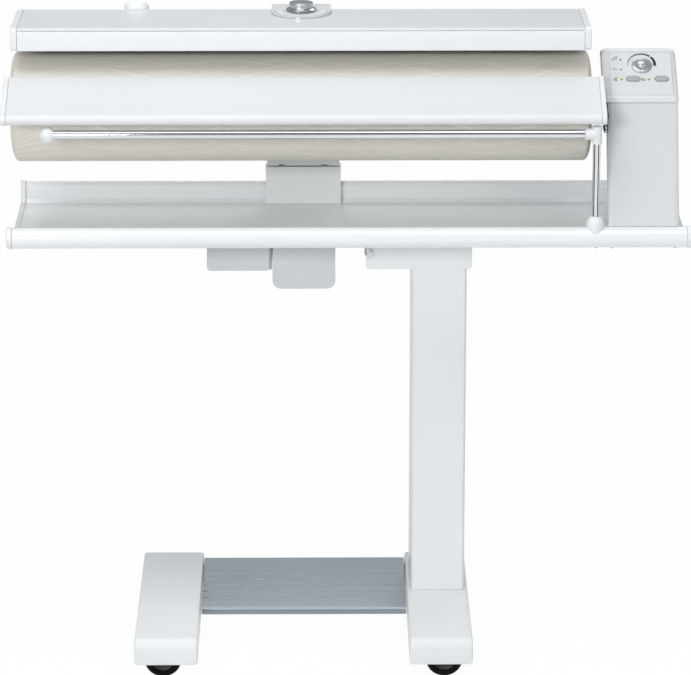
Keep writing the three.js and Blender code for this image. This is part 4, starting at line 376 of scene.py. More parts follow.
lamp_ring = grained("lamp_ring", (238, 236, 190), (230, 227, 176), 900, 0.00003, 0.35, 0.05)
zinc_plate = drawn("zinc_plate", (222, 224, 226), (196, 199, 203), (300, 6, 300), 0.2, 0.16, Metallic=0.9)
black_rubber = grained("black_rubber", (13, 14, 15), (20, 21, 23), 420, 0.0003, 0.8, 0.1,
                       Specular_IOR_Level=0.12)
# Dark plastic for hubs, pulleys and the cable gland; on the feed plate's bracket the same near-black is
# painted shade.
dark_moulding_and_gap_shade = grained("dark_moulding_and_gap_shade", (40, 42, 46), (32, 34, 38), 900, 0.0002, 0.5, 0.12)
board_green = grained("board_green", (47, 104, 64), (36, 86, 52), 300, 0.0001, 0.4, 0.1)
milky_tank = grained("milky_tank", (214, 222, 226), (202, 212, 218), 80, 0.0001, 0.25, 0.1)
felt_pad = grained("felt_pad", (196, 190, 172), (180, 173, 156), 1600, 0.0006, 0.95, 0.05, 0.8)
motor_paint = grained("motor_paint", (78, 82, 88), (66, 70, 76), 500, 0.0003, 0.5, 0.12)
bright_chrome = drawn("bright_chrome", (232, 234, 238), (214, 217, 222), (3, 60, 60), 0.05, 0.05,
                      Metallic=1.0)
brushed_steel = drawn("brushed_steel", (172, 176, 181), (140, 144, 150), (6, 700, 700), 0.26, 0.2,
                      Metallic=1.0)
shoe_metal = drawn("shoe_metal", (200, 203, 206), (178, 182, 186), (2, 500, 500), 0.22, 0.15,
                   Metallic=1.0)
treadle_metal = drawn("treadle_metal", (156, 164, 171), (138, 146, 154), (3, 400, 400), 0.34, 0.18,
                      Metallic=0.85)
print(len(bpy.data.materials), "finishes so far")

# %% [markdown]
# The ironing cloth is beige cotton with thin pale wavy lines. The pattern follows the cloth, so it is
# laid out on the piece's own UV map, whose unit is the metre: u runs along the roller, v round it. Two
# crossing sets of threads make the weave. Each set of pale lines is the distance to the nearest of many
# evenly spaced lines, after a slow sine wave and a noise have moved the cloth under them.

# %% The ironing cloth
THREAD_PITCH = 0.0011
WAVE_NODE_TURN = 20  # radians in a metre, for a Wave Texture whose scale is 1
ironing_cloth = bpy.data.materials.new("ironing_cloth")
ironing_cloth.use_nodes = True
cloth_tree = ironing_cloth.node_tree
cloth_shader = cloth_tree.nodes["Principled BSDF"]
cloth_shader.inputs["Roughness"].default_value = 0.88
cloth_shader.inputs["Sheen Weight"].default_value = 0.15
cloth_shader.inputs["Sheen Roughness"].default_value = 0.5
cloth_shader.inputs["Specular IOR Level"].default_value = 0.25
cloth_uv = place(cloth_tree, "ShaderNodeUVMap", uv_map="cloth_metres")


def thread_set(direction):
    """Even bands across one direction of the cloth, a thread to each."""
    bands = place(cloth_tree, "ShaderNodeTexWave", wave_type="BANDS", bands_direction=direction,
                  Scale=2 * pi / (WAVE_NODE_TURN * THREAD_PITCH), Distortion=0.4, Detail=1.0)
    join(cloth_tree, cloth_uv.outputs["UV"], bands.inputs["Vector"])
    return bands


def maths(operation, *values):
    """A maths node whose inputs are plain numbers or other nodes' sockets."""
    made = place(cloth_tree, "ShaderNodeMath", operation=operation)
    for socket, value in zip(made.inputs, values):
        if isinstance(value, (int, float)):
            socket.default_value = value
        else:
            join(cloth_tree, value, socket)
    return made.outputs[0]


cloth_place = place(cloth_tree, "ShaderNodeSeparateXYZ")
join(cloth_tree, cloth_uv.outputs["UV"], cloth_place.inputs[0])
along_roller, round_it = cloth_place.outputs[0], cloth_place.outputs[1]
wander = place(cloth_tree, "ShaderNodeTexNoise", Scale=6.0, Detail=1.0, Roughness=0.4)
fading = place(cloth_tree, "ShaderNodeTexNoise", Scale=13.0, Detail=2.0, Roughness=0.5)
join(cloth_tree, cloth_uv.outputs["UV"], wander.inputs["Vector"])
join(cloth_tree, cloth_uv.outputs["UV"], fading.inputs["Vector"])
WAVE_STROKE = 0.0006
WAVE_LEAN = 16.0
WANDER_REACH = 0.03


def wavy_lines(spacing, wave_length, wave_height, start):
    """Thin lines along the roller that rise and fall in slow waves: 1 on a line and 0 between."""
    lean = maths("MULTIPLY_ADD", round_it, WAVE_LEAN, start)
    turn = maths("MULTIPLY_ADD", along_roller, 2 * pi / wave_length, lean)
    swell = maths("MULTIPLY_ADD", maths("SINE", turn), wave_height, round_it)
    moved = maths("MULTIPLY_ADD", wander.outputs[0], WANDER_REACH, swell)
    from_line = maths("ABSOLUTE", maths("SUBTRACT", maths("FRACT", maths("DIVIDE", moved, spacing)), 0.5))
    edge = place(cloth_tree, "ShaderNodeMapRange", From_Min=0.4 * WAVE_STROKE / spacing,
                 From_Max=1.8 * WAVE_STROKE / spacing, To_Min=1.0, To_Max=0.0)
    join(cloth_tree, from_line, edge.inputs["Value"])
    return edge.outputs[0]


warp, weft = thread_set("X"), thread_set("Y")
weave_height = maths("MULTIPLY", warp.outputs["Fac"], weft.outputs["Fac"])
near_lines, middle_lines = wavy_lines(0.016, 0.155, 0.008, 0.0), wavy_lines(0.021, 0.142, 0.0095, 2.2)
all_lines = maths("MAXIMUM", near_lines, middle_lines)
all_lines = maths("MAXIMUM", all_lines, wavy_lines(0.027, 0.171, 0.007, 4.1))
cloth_tone = place(cloth_tree, "ShaderNodeTexNoise", Scale=22.0, Detail=5.0, Roughness=0.6)
join(cloth_tree, cloth_uv.outputs["UV"], cloth_tone.inputs["Vector"])
ground = place(cloth_tree, "ShaderNodeMix", data_type="RGBA")
ground.inputs[MIX_A].default_value = srgb(228, 224, 212)
ground.inputs[MIX_B].default_value = srgb(235, 232, 221)
join(cloth_tree, cloth_tone.outputs[0], ground.inputs["Factor"])
line_share = maths("MULTIPLY", all_lines, maths("MULTIPLY_ADD", fading.outputs[0], 1.5, -0.15))
lined = place(cloth_tree, "ShaderNodeMix", data_type="RGBA")
lined.inputs[MIX_B].default_value = srgb(250, 246, 234)
join(cloth_tree, line_share, lined.inputs["Factor"])
join(cloth_tree, ground.outputs[MIX_RESULT], lined.inputs[MIX_A])
join(cloth_tree, lined.outputs[MIX_RESULT], cloth_shader.inputs["Base Color"])
cloth_bump = place(cloth_tree, "ShaderNodeBump", Strength=0.5, Distance=0.0004)
join(cloth_tree, weave_height, cloth_bump.inputs["Height"])
join(cloth_tree, cloth_bump.outputs["Normal"], cloth_shader.inputs["Normal"])
print("cloth with threads", THREAD_PITCH / MM, "mm apart")

# %% [markdown]
# Every piece ends the same way: its mesh becomes an object at the origin, flat faces stay flat while
# the rounded edges shade smoothly, and the piece rides on the body that carries it.

# %% Finishing a piece
SMOOTH_UNDER = radians(32)


def finished(name, form, material, *nodes, body=None):
    """Turns a bmesh into a piece that stands for the CAD nodes named, or rides on the body named."""
    mesh = bpy.data.meshes.new(name)
    form.to_mesh(mesh)
    form.free()
    for face in mesh.polygons:
        face.use_smooth = True
    mesh.set_sharp_from_angle(angle=SMOOTH_UNDER)
    mesh.materials.append(material)
    piece = bpy.data.objects.new(name, mesh)
    bpy.context.scene.collection.objects.link(piece)
    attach(piece, body or frame["nodes"][nodes[0]]["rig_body"])
    if nodes:
        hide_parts(*nodes)
    return piece

# %% [markdown]
# Pressed sheet and mouldings have no knife edges. The CAD solid of each such piece already has the
# right shape, so a copy of it is merged into clean faces, and every sharp edge is rolled over by the
# radius that the real piece has.

# %% Rounding the edges of plain pieces
SHARPER_THAN, FLATTER_THAN = radians(30), radians(0.6)
MERGE_WITHIN = 0.002 * MM
EDGE_STEPS = 3


def eased_form(node, radius):
    """A merged copy of a CAD node's mesh with its sharp edges rolled over."""
    form = bmesh.new()
    form.from_mesh(frame["nodes"][node].data)
    bmesh.ops.remove_doubles(form, verts=form.verts, dist=MERGE_WITHIN)
    bmesh.ops.dissolve_limit(form, angle_limit=FLATTER_THAN, verts=form.verts, edges=form.edges)
    sharp = [edge for edge in form.edges
             if edge.is_manifold and edge.calc_face_angle(0) > SHARPER_THAN]
    bmesh.ops.bevel(form, geom=sharp, offset=radius, offset_type="OFFSET", affect="EDGES",
                    segments=EDGE_STEPS, profile=0.5, material=-1, clamp_overlap=True)
    return form


def evenly_shaded(piece):
    """Lets the big faces lead the shading, so that the rolled edges don't bend it."""
    weighted = piece.modifiers.new("even shading", "WEIGHTED_NORMAL")
    weighted.keep_sharp = True
    return piece


EASED = [
    ("foot_left", powder_white, 2.0), ("foot_right", powder_white, 2.0), ("crossbar", powder_white, 1.2),
    ("column", powder_white, 0.6), ("head_bracket", powder_white, 1.2), ("fold_yoke", brushed_steel, 0.5),
    ("tray", tray_white, 0.5), ("tray_cap_left", moulded_white, 1.0),
    ("tray_cap_right", moulded_white, 1.0), ("lift_cover", moulded_grey, 2.0),
    ("board_cover", moulded_grey, 2.0), ("lift_fairing", moulded_white, 1.6),
    ("tower_shell", tower_gloss, 0.8), ("control_head", head_white, 0.9),
    ("feed_cap_left", moulded_white, 0.9), ("feed_cap_right", moulded_white, 0.9),
    # The feed bracket's near-black colour is painted shade: the steel bracket sits in shadow between the
    # feed plate and the tower.
    ("feed_bracket", dark_moulding_and_gap_shade, 0.4), ("pressing_arm", powder_white, 1.8),
    ("pressing_cover", cover_lacquer, 0.5), ("cover_cap_left", moulded_white, 0.9),
    ("cover_cap_right", moulded_white, 0.9), ("finger_guard", moulded_white, 0.5),
    ("pressing_shoe", shoe_metal, 0.8), ("dial_base", moulded_grey, 0.6), ("rail_base", moulded_white, 0.5),
    ("rail_elbow", moulded_white, 0.8), ("treadle_plate", treadle_metal, 0.3),
    ("fascia_plate", fascia_film, 0.15), ("button_left", button_grey, 0.7),
    ("button_right", button_grey, 0.7), ("cable_gland", dark_moulding_and_gap_shade, 0.6),
]
for node, material, radius in EASED:
    piece = evenly_shaded(finished(node + "_dressed", eased_form(node, radius * MM), material, node))
    print(piece.name, len(piece.data.polygons), "faces")

# %% [markdown]
# The feed plate is folded sheet with hair-fine pressed lines that keep damp linen from clinging. A
# plane cuts the copy three times at each line, and the middle cut is pushed down, which leaves a fine V.

# %% The feed plate and its pressed lines
def press_lines(form, places, width, depth, upward):
    """Presses straight V lines along X, at the Y places given in millimetres, into faces that look up."""
    for place_y in places:
        for offset in (-width / 2, 0, width / 2):
            bmesh.ops.bisect_plane(form, geom=form.verts[:] + form.edges[:] + form.faces[:],
                                   plane_co=(0, (place_y + offset) * MM, 0), plane_no=(0, 1, 0), dist=1e-7)
        form.normal_update()
        middle = [vert for vert in form.verts
                  if abs(vert.co.y - place_y * MM) < 1e-5 and vert.normal.dot(upward) > 0.6]
        bmesh.ops.translate(form, vec=-upward * depth * MM, verts=middle)
    return form


FEED_UPWARD = Vector((0, -0.406409, 0.913691))
FEED_LINES_Y = (-56, -75, -92, -99, -106)
FEED_LINE_WIDTH, FEED_LINE_DEPTH = 0.9, 0.13
feed_form = press_lines(eased_form("feed_plate", 0.5 * MM), FEED_LINES_Y, FEED_LINE_WIDTH,
                        FEED_LINE_DEPTH, FEED_UPWARD)
evenly_shaded(finished("feed_plate_dressed", feed_form, feed_white, "feed_plate"))
print("feed plate with", len(FEED_LINES_Y), "pressed lines")

# %% [markdown]
# Wheels, rods, knobs and pins are turned pieces: a profile spun once round an axis. A corner of the
# profile may carry a third number, the reach of a short curve that replaces it, so no turned edge is
# sharp.

# %% Turned pieces
ROUND_STEPS = 64


def rounded(corners, steps=4):
    """A profile whose corners (radius, place) stay sharp, and whose corners with a reach are curved."""
    line = []
    for number, corner in enumerate(corners):
        here = Vector(corner[:2])
        if len(corner) < 3:
            line.append(here)
            continue
        before = (Vector(corners[number - 1][:2]) - here).normalized() * corner[2]
        after = (Vector(corners[number + 1][:2]) - here).normalized() * corner[2]
        for step in range(steps + 1):
            share = step / steps
            line.append(here + before * (1 - share) ** 2 + after * share ** 2)
    return line


def turned(profile, centre, axis, steps=ROUND_STEPS):
    """Spins a profile of (radius, place along the axis), in millimetres, into a closed form."""
    form = bmesh.new()
    along = Vector(axis).normalized()
    outward = along.orthogonal().normalized()
    middle = Vector(centre) * MM
    points = [form.verts.new(middle + (outward * radius + along * distance) * MM)
              for radius, distance in profile]
    edges = [form.edges.new(pair) for pair in zip(points, points[1:])]
    bmesh.ops.spin(form, geom=points + edges, cent=middle, axis=along, angle=2 * pi, steps=steps,
                   use_merge=True)
    bmesh.ops.remove_doubles(form, verts=form.verts, dist=0.000001)
    bmesh.ops.recalc_face_normals(form, faces=form.faces)
    return form

print("a turned piece has", ROUND_STEPS, "steps round")

# %% [markdown]
# The roller wears a drawn-on cotton cover over a thick felt pad. Its ends are gathered by a cord, so
# the cloth curls round the shoulder in small pleats to an open mouth. The tube is spun, the pleats are
# a wave on the verts of the two end faces, and the UV map is measured in metres along and round the
# roller, so that the weave keeps its scale everywhere.

# %% The ironing cloth on the roller
ROLLER_CENTRE = (0, 33, 808.5)
ROLLER_LEFT, ROLLER_RIGHT = -485.5, 351.5
ROLLER_RADIUS = 80
SHOULDER_LENGTH, SHOULDER_DROP = 9.5, 23
MOUTH_RADIUS = 50
PLEATS, PLEAT_HEIGHT, PLEAT_REACH = 44, 0.8, 9
CLOTH_WALL = 1.4
SEAM_ANGLE = radians(-60)


def shoulder(end_x, inward, depth, steps=8):
    """The curl of the cloth round one end of the roller, from the end face to the full radius."""
    return [(ROLLER_RADIUS - depth - (SHOULDER_DROP - depth) * (1 - sin(pi / 2 * step / steps)),
             end_x + inward * (depth + (SHOULDER_LENGTH - depth) * (1 - cos(pi / 2 * step / steps))))
            for step in range(steps + 1)]


def round_roller(vert):
    """How far round the roller a point lies, from the cloth's seam, and how far from the axis."""
    y, z = vert.co.y - ROLLER_CENTRE[1] * MM, vert.co.z - ROLLER_CENTRE[2] * MM
    return (atan2(z, y) - SEAM_ANGLE) % (2 * pi), hypot(y, z)


def lay_out_cloth(form):
    """Gives each face corner its place on the cloth in metres: along the roller, and round it."""
    layer = form.loops.layers.uv.new("cloth_metres")
    for face in form.faces:
        turns = [round_roller(loop.vert)[0] for loop in face.loops]
        for loop, turn in zip(face.loops, turns):
            if max(turns) - turn > pi:
                turn += 2 * pi
            reach = round_roller(loop.vert)[1]
            beyond = max(0, ROLLER_RADIUS * MM - reach)
            side = 1 if loop.vert.co.x > (ROLLER_LEFT + ROLLER_RIGHT) / 2 * MM else -1
            loop[layer].uv = (loop.vert.co.x + side * beyond, turn * ROLLER_RADIUS * MM)


def gather_ends(form):
    """Draws the two end faces into pleats with a wave that fades at the mouth and at the rim."""
    for vert in form.verts:
        turn, reach = round_roller(vert)
        depth = (reach - MOUTH_RADIUS * MM) / ((ROLLER_RADIUS - MOUTH_RADIUS) * MM)
        near_end = min(abs(vert.co.x - ROLLER_LEFT * MM), abs(vert.co.x - ROLLER_RIGHT * MM))
        if near_end < PLEAT_REACH * MM and 0 < depth < 0.95:
            side = 1 if vert.co.x < 0 else -1
            vert.co.x += side * PLEAT_HEIGHT * MM * (1 + cos(PLEATS * turn)) * sin(pi * depth)


CLOTH_BAYS = 10
bay_length = (ROLLER_RIGHT - ROLLER_LEFT - 2 * SHOULDER_LENGTH) / CLOTH_BAYS
along_cloth = [(ROLLER_RADIUS, ROLLER_LEFT + SHOULDER_LENGTH + bay * bay_length)
               for bay in range(1, CLOTH_BAYS)]
cloth_profile = [
    (MOUTH_RADIUS, ROLLER_LEFT + CLOTH_WALL), (MOUTH_RADIUS, ROLLER_LEFT), (MOUTH_RADIUS + 3, ROLLER_LEFT),
    *shoulder(ROLLER_LEFT, 1, 0), *along_cloth, *reversed(shoulder(ROLLER_RIGHT, -1, 0)),
    (MOUTH_RADIUS + 3, ROLLER_RIGHT), (MOUTH_RADIUS, ROLLER_RIGHT),
    (MOUTH_RADIUS, ROLLER_RIGHT - CLOTH_WALL), *shoulder(ROLLER_RIGHT, -1, CLOTH_WALL),
    *reversed(shoulder(ROLLER_LEFT, 1, CLOTH_WALL)), (MOUTH_RADIUS, ROLLER_LEFT + CLOTH_WALL),
]
cloth_form = turned(cloth_profile, ROLLER_CENTRE, (1, 0, 0), steps=264)
gather_ends(cloth_form)
lay_out_cloth(cloth_form)
cloth = finished("ironing_cloth_cover", cloth_form, ironing_cloth, "roller_cloth")
print("cloth cover", len(cloth.data.polygons), "faces,", ROLLER_RIGHT - ROLLER_LEFT, "mm long")

# %% The felt pad under the cloth
PAD_DEPTH, PAD_BORE, PAD_MOUTH = 2.0, 71.3, 58
pad_left, pad_right = ROLLER_LEFT + 4.4, ROLLER_RIGHT - 4.4
pad_profile = [
    (PAD_MOUTH, pad_left), *shoulder(ROLLER_LEFT, 1, PAD_DEPTH)[1:],
    *reversed(shoulder(ROLLER_RIGHT, -1, PAD_DEPTH)[1:]), (PAD_MOUTH, pad_right),
    (PAD_BORE, pad_right), (PAD_BORE, pad_left), (PAD_MOUTH, pad_left),
]
pad_form = turned(pad_profile, ROLLER_CENTRE, (1, 0, 0), steps=96)
pad = finished("felt_pad_sleeve", pad_form, felt_pad, "roller_padding")
print("felt pad, 7 mm thick")

# %% [markdown]
# The cloth's long free edge is hemmed and lies at the back of the roller. The hem is a narrow band: a
# line spun a few degrees round the axis, then given the thickness of the folded cloth.

# %% The cloth's hem
HEM_WIDTH, HEM_THICKNESS = 14, 0.4
hem_form = bmesh.new()
hem_side = Vector((0, cos(SEAM_ANGLE), sin(SEAM_ANGLE))) * (ROLLER_RADIUS + 0.02)
hem_ends = [hem_form.verts.new((Vector((end, 0, 0)) + Vector(ROLLER_CENTRE) + hem_side) * MM)
            for end in (ROLLER_LEFT + SHOULDER_LENGTH, ROLLER_RIGHT - SHOULDER_LENGTH)]
hem_line = hem_form.edges.new(hem_ends)
bmesh.ops.spin(hem_form, geom=hem_ends + [hem_line], cent=Vector(ROLLER_CENTRE) * MM, axis=(1, 0, 0),
               angle=HEM_WIDTH / ROLLER_RADIUS, steps=6)
hem_faces = hem_form.faces[:]
raised = bmesh.ops.extrude_face_region(hem_form, geom=hem_faces, use_keep_orig=True)["geom"]
for vert in [item for item in raised if isinstance(item, bmesh.types.BMVert)]:
    outward = Vector((0, vert.co.y - ROLLER_CENTRE[1] * MM, vert.co.z - ROLLER_CENTRE[2] * MM)).normalized()
    vert.co += outward * HEM_THICKNESS * MM
bmesh.ops.recalc_face_normals(hem_form, faces=hem_form.faces)
lay_out_cloth(hem_form)
hem = finished("cloth_hem", hem_form, ironing_cloth, body="roller")
print("hem", HEM_WIDTH, "mm wide")

# %% [markdown]
# Each foot rolls on two small solid wheels. The tyre is a turned ring with two fine grooves in its
# tread, pressed on a dished plastic hub whose stub axle turns in the foot.

# %% Wheels
WHEEL_RADIUS = 27
WHEEL_PLACES = {
    "wheel_front_left": (-271.2, -164), "wheel_rear_left": (-271.2, 164),
    "wheel_front_right": (139.9, -164), "wheel_rear_right": (139.9, 164),
}
TYRE = [
    (17, -7.6), (19.5, -9.6, 0.8), (23.5, -10, 1), (27, -7.4, 2), (27, -3.4), (26.3, -3.1), (26.3, -2.3),
    (27, -2), (27, 2), (26.3, 2.3), (26.3, 3.1), (27, 3.4), (27, 7.4, 2), (23.5, 10, 1), (19.5, 9.6, 0.8),
    (17, 7.6), (17, -7.6),
]
HUB = [
    (0, -14.4), (2.9, -14.4, 0.4), (2.9, -9.2), (6, -8.8, 0.6), (7.4, -6.2, 0.8), (14, -6.2, 0.8),
    (16.9, -8, 0.3), (16.9, 8, 0.3), (14, 6.2, 0.8), (7.4, 6.2, 0.8), (6, 8.8, 0.6), (2.9, 9.2),
    (2.9, 14.4, 0.4), (0, 14.4),
]
for name, (x, y) in WHEEL_PLACES.items():
    centre = (x, y, WHEEL_RADIUS)
    finished(name + "_tyre", turned(rounded(TYRE), centre, (0, 1, 0)), black_rubber, name)
    hub = finished(name + "_hub", turned(rounded(HUB), centre, (0, 1, 0)), dark_moulding_and_gap_shade, body=name)
print(len(WHEEL_PLACES), "wheels of", 2 * WHEEL_RADIUS, "mm")

# %% [markdown]
# The laundry rail is a chromed tube on a swivelling post. Both tubes are turned again at a finer step
# than the CAD has, because chrome shows every facet, and the rod ends in a plastic ball.

# %% The laundry rail
RAIL_Y, RAIL_Z = -108, 801
RAIL_POST_X = 352.8
RAIL_LEFT, RAIL_RIGHT = -424.7, 345.2
post_profile = rounded([(0, 668), (5.5, 668, 0.5), (5.5, 800.7, 0.5), (0, 800.7)])
finished("rail_post_chrome", turned(post_profile, (RAIL_POST_X, RAIL_Y, 0), (0, 0, 1), 72), bright_chrome,
         "rail_post")
rod_profile = rounded([(0, RAIL_LEFT), (6.5, RAIL_LEFT, 0.5), (6.5, RAIL_RIGHT, 0.5), (0, RAIL_RIGHT)])
finished("rail_rod_chrome", turned(rod_profile, (0, RAIL_Y, RAIL_Z), (1, 0, 0), 72), bright_chrome,
         "rail_rod")
BALL_X, BALL_RADIUS = -426.7, 11.4
ball_curve = [(BALL_RADIUS * sin(pi * step / 16), BALL_X - BALL_RADIUS * cos(pi * step / 16))
              for step in range(13)]
ball_profile = [*ball_curve, (7.4, -417.6), (6.6, -417.4), (6.6, -424.6), (0, -424.6)]
ball_form = turned(ball_profile, (0, RAIL_Y, RAIL_Z), (1, 0, 0))
finished("rail_ball_moulded", ball_form, moulded_white, "rail_ball")
print("rail", round(RAIL_RIGHT - RAIL_LEFT), "mm long")

# %% [markdown]
# The fold pin is a zinc-plated pin with a low domed head. The water filler's cap is a smooth shallow
# cup that leans back with its neck, so the spin's axis leans by the same 25 degrees.

# %% The fold pin and the filler cap
pin_profile = rounded([
    (0, 8.8), (4.6, 8.9), (6.5, 9.6, 0.5), (6.5, 10.7), (5, 10.7), (5, 149, 0.6), (0, 149),
])
finished("fold_pin_turned", turned(pin_profile, (32.9, 0, 591), (0, 1, 0)), zinc_plate, "fold_pin")

FILLER_CENTRE = (-308, 126, 926)
FILLER_LEAN = radians(25)
FILLER_AXIS = Vector((0, sin(FILLER_LEAN), cos(FILLER_LEAN)))
cap_profile = rounded([
    (0, -8), (9.7, -8, 0.6), (9.7, 0), (18.2, 0, 0.5), (18.5, 5, 2), (18, 10.6, 1.6), (15.6, 12.6, 1.2),
    (0, 13),
])
cap_form = turned(cap_profile, FILLER_CENTRE, FILLER_AXIS, steps=72)
finished("filler_cap_turned", cap_form, moulded_white, "filler_cap")
print("filler cap 37 mm across")

# %% [markdown]
# The steam control is a low turned knob on a flared skirt, in the middle of a half-round scale plate,
# with a small index on the cover in front. The plate's rings are raised lines: an edge spun half round,
# then given a height. The two grey rings are painted shade, one in the plate's groove and one at its edge.

# %% Flat marks on a plate
def ring_mark(centre, inner, outer, start, end, height=0.12, steps=36):
    """A thin ring sector on the plane z = 0, in millimetres, its angles in degrees."""
    form = bmesh.new()
    middle = Vector((*centre, 0)) * MM
    side = Vector((cos(radians(start)), sin(radians(start)), 0))
    points = [form.verts.new(middle + side * reach * MM) for reach in (inner, outer)]
    edge = form.edges.new(points)
    bmesh.ops.spin(form, geom=points + [edge], cent=middle, axis=(0, 0, 1), angle=radians(end - start),
                   steps=steps)
    bmesh.ops.remove_doubles(form, verts=form.verts, dist=0.000001)
    return thickened(form, height)


def bar_mark(centre, length, width, turn, height=0.12):
    """A thin straight bar on the plane z = 0, turned by some degrees."""
    form = bmesh.new()
    bmesh.ops.create_grid(form, x_segments=1, y_segments=1, size=0.5)
    bmesh.ops.scale(form, vec=(length * MM, width * MM, 1), verts=form.verts)
    bmesh.ops.rotate(form, cent=(0, 0, 0), matrix=Matrix.Rotation(radians(turn), 3, "Z"), verts=form.verts)
    bmesh.ops.translate(form, vec=Vector((*centre, 0)) * MM, verts=form.verts)
    return thickened(form, height)


def thickened(form, height):
    """Gives flat faces on the plane z = 0 a height in millimetres."""
    raised = bmesh.ops.extrude_face_region(form, geom=form.faces[:], use_keep_orig=True)["geom"]
    tops = [item for item in raised if isinstance(item, bmesh.types.BMVert)]
    bmesh.ops.translate(form, vec=(0, 0, height * MM), verts=tops)
    bmesh.ops.recalc_face_normals(form, faces=form.faces)
    return form


def printed(name, form, plane, material, body):
    """Lays a mark on its plate and finishes it."""
    bmesh.ops.transform(form, matrix=plane, verts=form.verts)
    finished(name, form, material, body=body)

print("marks stand 0.12 mm proud")

# %% The steam dial
DIAL_CENTRE = (-67, 81, 939.2)
DIAL_TILT = radians(1.55)
DIAL_PLANE = Matrix.Translation(Vector(DIAL_CENTRE) * MM) @ Matrix.Rotation(DIAL_TILT, 4, "X")
# The two grey rings are painted shade: the inner one for the plate's groove, the outer one for the dark
# line at the plate's edge.
DIAL_RINGS = [(25.2, 0.9, print_and_painted_shade), (33, 3.2, moulded_white), (39, 0.6, print_and_painted_shade)]
for number, (ring, width, paint) in enumerate(DIAL_RINGS):
    ring_form = ring_mark((0, 0), ring - width / 2, ring + width / 2, 185, 355)
    printed(f"dial_ring_{number}", ring_form, DIAL_PLANE, paint, "press_head")
INDEX_CENTRE, INDEX_HALF = Vector((-71.5, 27, 936.2)), Vector((4.4, 13, 1.5))
index_form = bmesh.new()
bmesh.ops.create_uvsphere(index_form, u_segments=24, v_segments=12, radius=1)
bmesh.ops.scale(index_form, vec=INDEX_HALF * MM, verts=index_form.verts)
bmesh.ops.translate(index_form, vec=INDEX_CENTRE * MM, verts=index_form.verts)
finished("dial_index", index_form, moulded_white, body="press_head")
STEAM_FOOT = (-67, 81, 940.6)
knob_profile = rounded([
    (0, -7.6), (3.9, -7.6), (3.9, 0), (22, 0, 0.2), (22, 0.8, 0.4), (18.6, 2.6, 0.8), (16.9, 4, 0.5),
    (17.5, 9.2, 0.6), (16.8, 9.9, 0.2), (0, 9.9),
])
steam_form = turned(knob_profile, STEAM_FOOT, (0, 0, 1), 96)
finished("steam_knob_turned", steam_form, turned_silver, "steam_knob")
lid_profile = rounded([(0, 9.5), (16.4, 9.5, 0.2), (16.4, 10.1, 0.2), (9, 10.9), (0, 11.1)])
lid = finished("steam_knob_lid", turned(lid_profile, STEAM_FOOT, (0, 0, 1), 72), knob_lid,
               body="steam_knob")
POINTER_RISE = Vector((0, 0, 10.4))
pointer_plane = Matrix.Translation((Vector(STEAM_FOOT) + POINTER_RISE) * MM)
pointer_form = bar_mark((-1.4, -11.5), 6, 1.4, 97, 0.5)
printed("steam_knob_pointer", pointer_form, pointer_plane, moulded_white, "steam_knob")
print("steam dial with", len(DIAL_RINGS), "rings and an index")

# %% [markdown]
# The control panel leans back 35 degrees, so everything on it is drawn flat first and then laid on the
# panel's plane. The temperature knob is a ball on a bright skirt; the scale round it grows from a hair
# line to a thick band. The lamps are small lenses, and two of them have a pale yellow ring.

# %% The temperature knob and its scale
PANEL_LEAN = radians(35)
PANEL = Matrix.Translation(Vector((0, -39, 838.4)) * MM) @ Matrix.Rotation(PANEL_LEAN, 4, "X")
FASCIA_TOP = 0.35
KNOB_X, KNOB_UP = 424, 59
ball_cap = [(10.6 * cos(radians(a)), 3.4 + 7.8 * sin(radians(a))) for a in range(0, 91, 9)]
temperature_profile = [
    *rounded([(0, -8.8), (2.9, -8.8), (2.9, 0.4), (14.6, 0.4, 0.2), (14.6, 1.5, 0.5), (12, 2.6, 0.6),
              (10.6, 2.9)]),
    *ball_cap,
]
knob_form = turned(temperature_profile, (KNOB_X, KNOB_UP, 0), (0, 0, 1), 72)
bmesh.ops.transform(knob_form, matrix=PANEL, verts=knob_form.verts)
finished("temperature_knob_turned", knob_form, silver_lacquer, "temperature_knob")
KNOB_MARK = PANEL @ Matrix.Translation(Vector((KNOB_X, KNOB_UP, 1.9)) * MM)
printed("temperature_knob_mark", bar_mark((-9.6, -8.6), 3.2, 0.9, 42, 0.5), KNOB_MARK, moulded_white,
        "temperature_knob")

SCALE_RADIUS = 20.6


def tapered_scale(start, end, thin, thick):
    """A ring sector whose inner edge draws in evenly from one thickness to another."""
    form = ring_mark((0, 0), SCALE_RADIUS - 1, SCALE_RADIUS, start, end)
    for vert in form.verts:
        flat = Vector((vert.co.x, vert.co.y, 0))
        turn = atan2(flat.y, flat.x)
        if turn < -1:
            turn += 2 * pi
        share = min(1, max(0, (radians(start) - turn) / radians(start - end)))
        if flat.length < (SCALE_RADIUS - 0.5) * MM:
            wanted = (SCALE_RADIUS - thin - (thick - thin) * share) * MM
            vert.co.x, vert.co.y = flat.normalized().xy * wanted
    return form


SCALE = PANEL @ Matrix.Translation(Vector((424.2, 61.6, FASCIA_TOP)) * MM)
printed("scale_low", tapered_scale(188, 52, 0.4, 2.6), SCALE, scale_print, "upper_unit")
printed("scale_high", tapered_scale(46, -8, 3.0, 4.4), SCALE, scale_print, "upper_unit")
print("temperature scale from 0.4 to 4.4 mm wide")

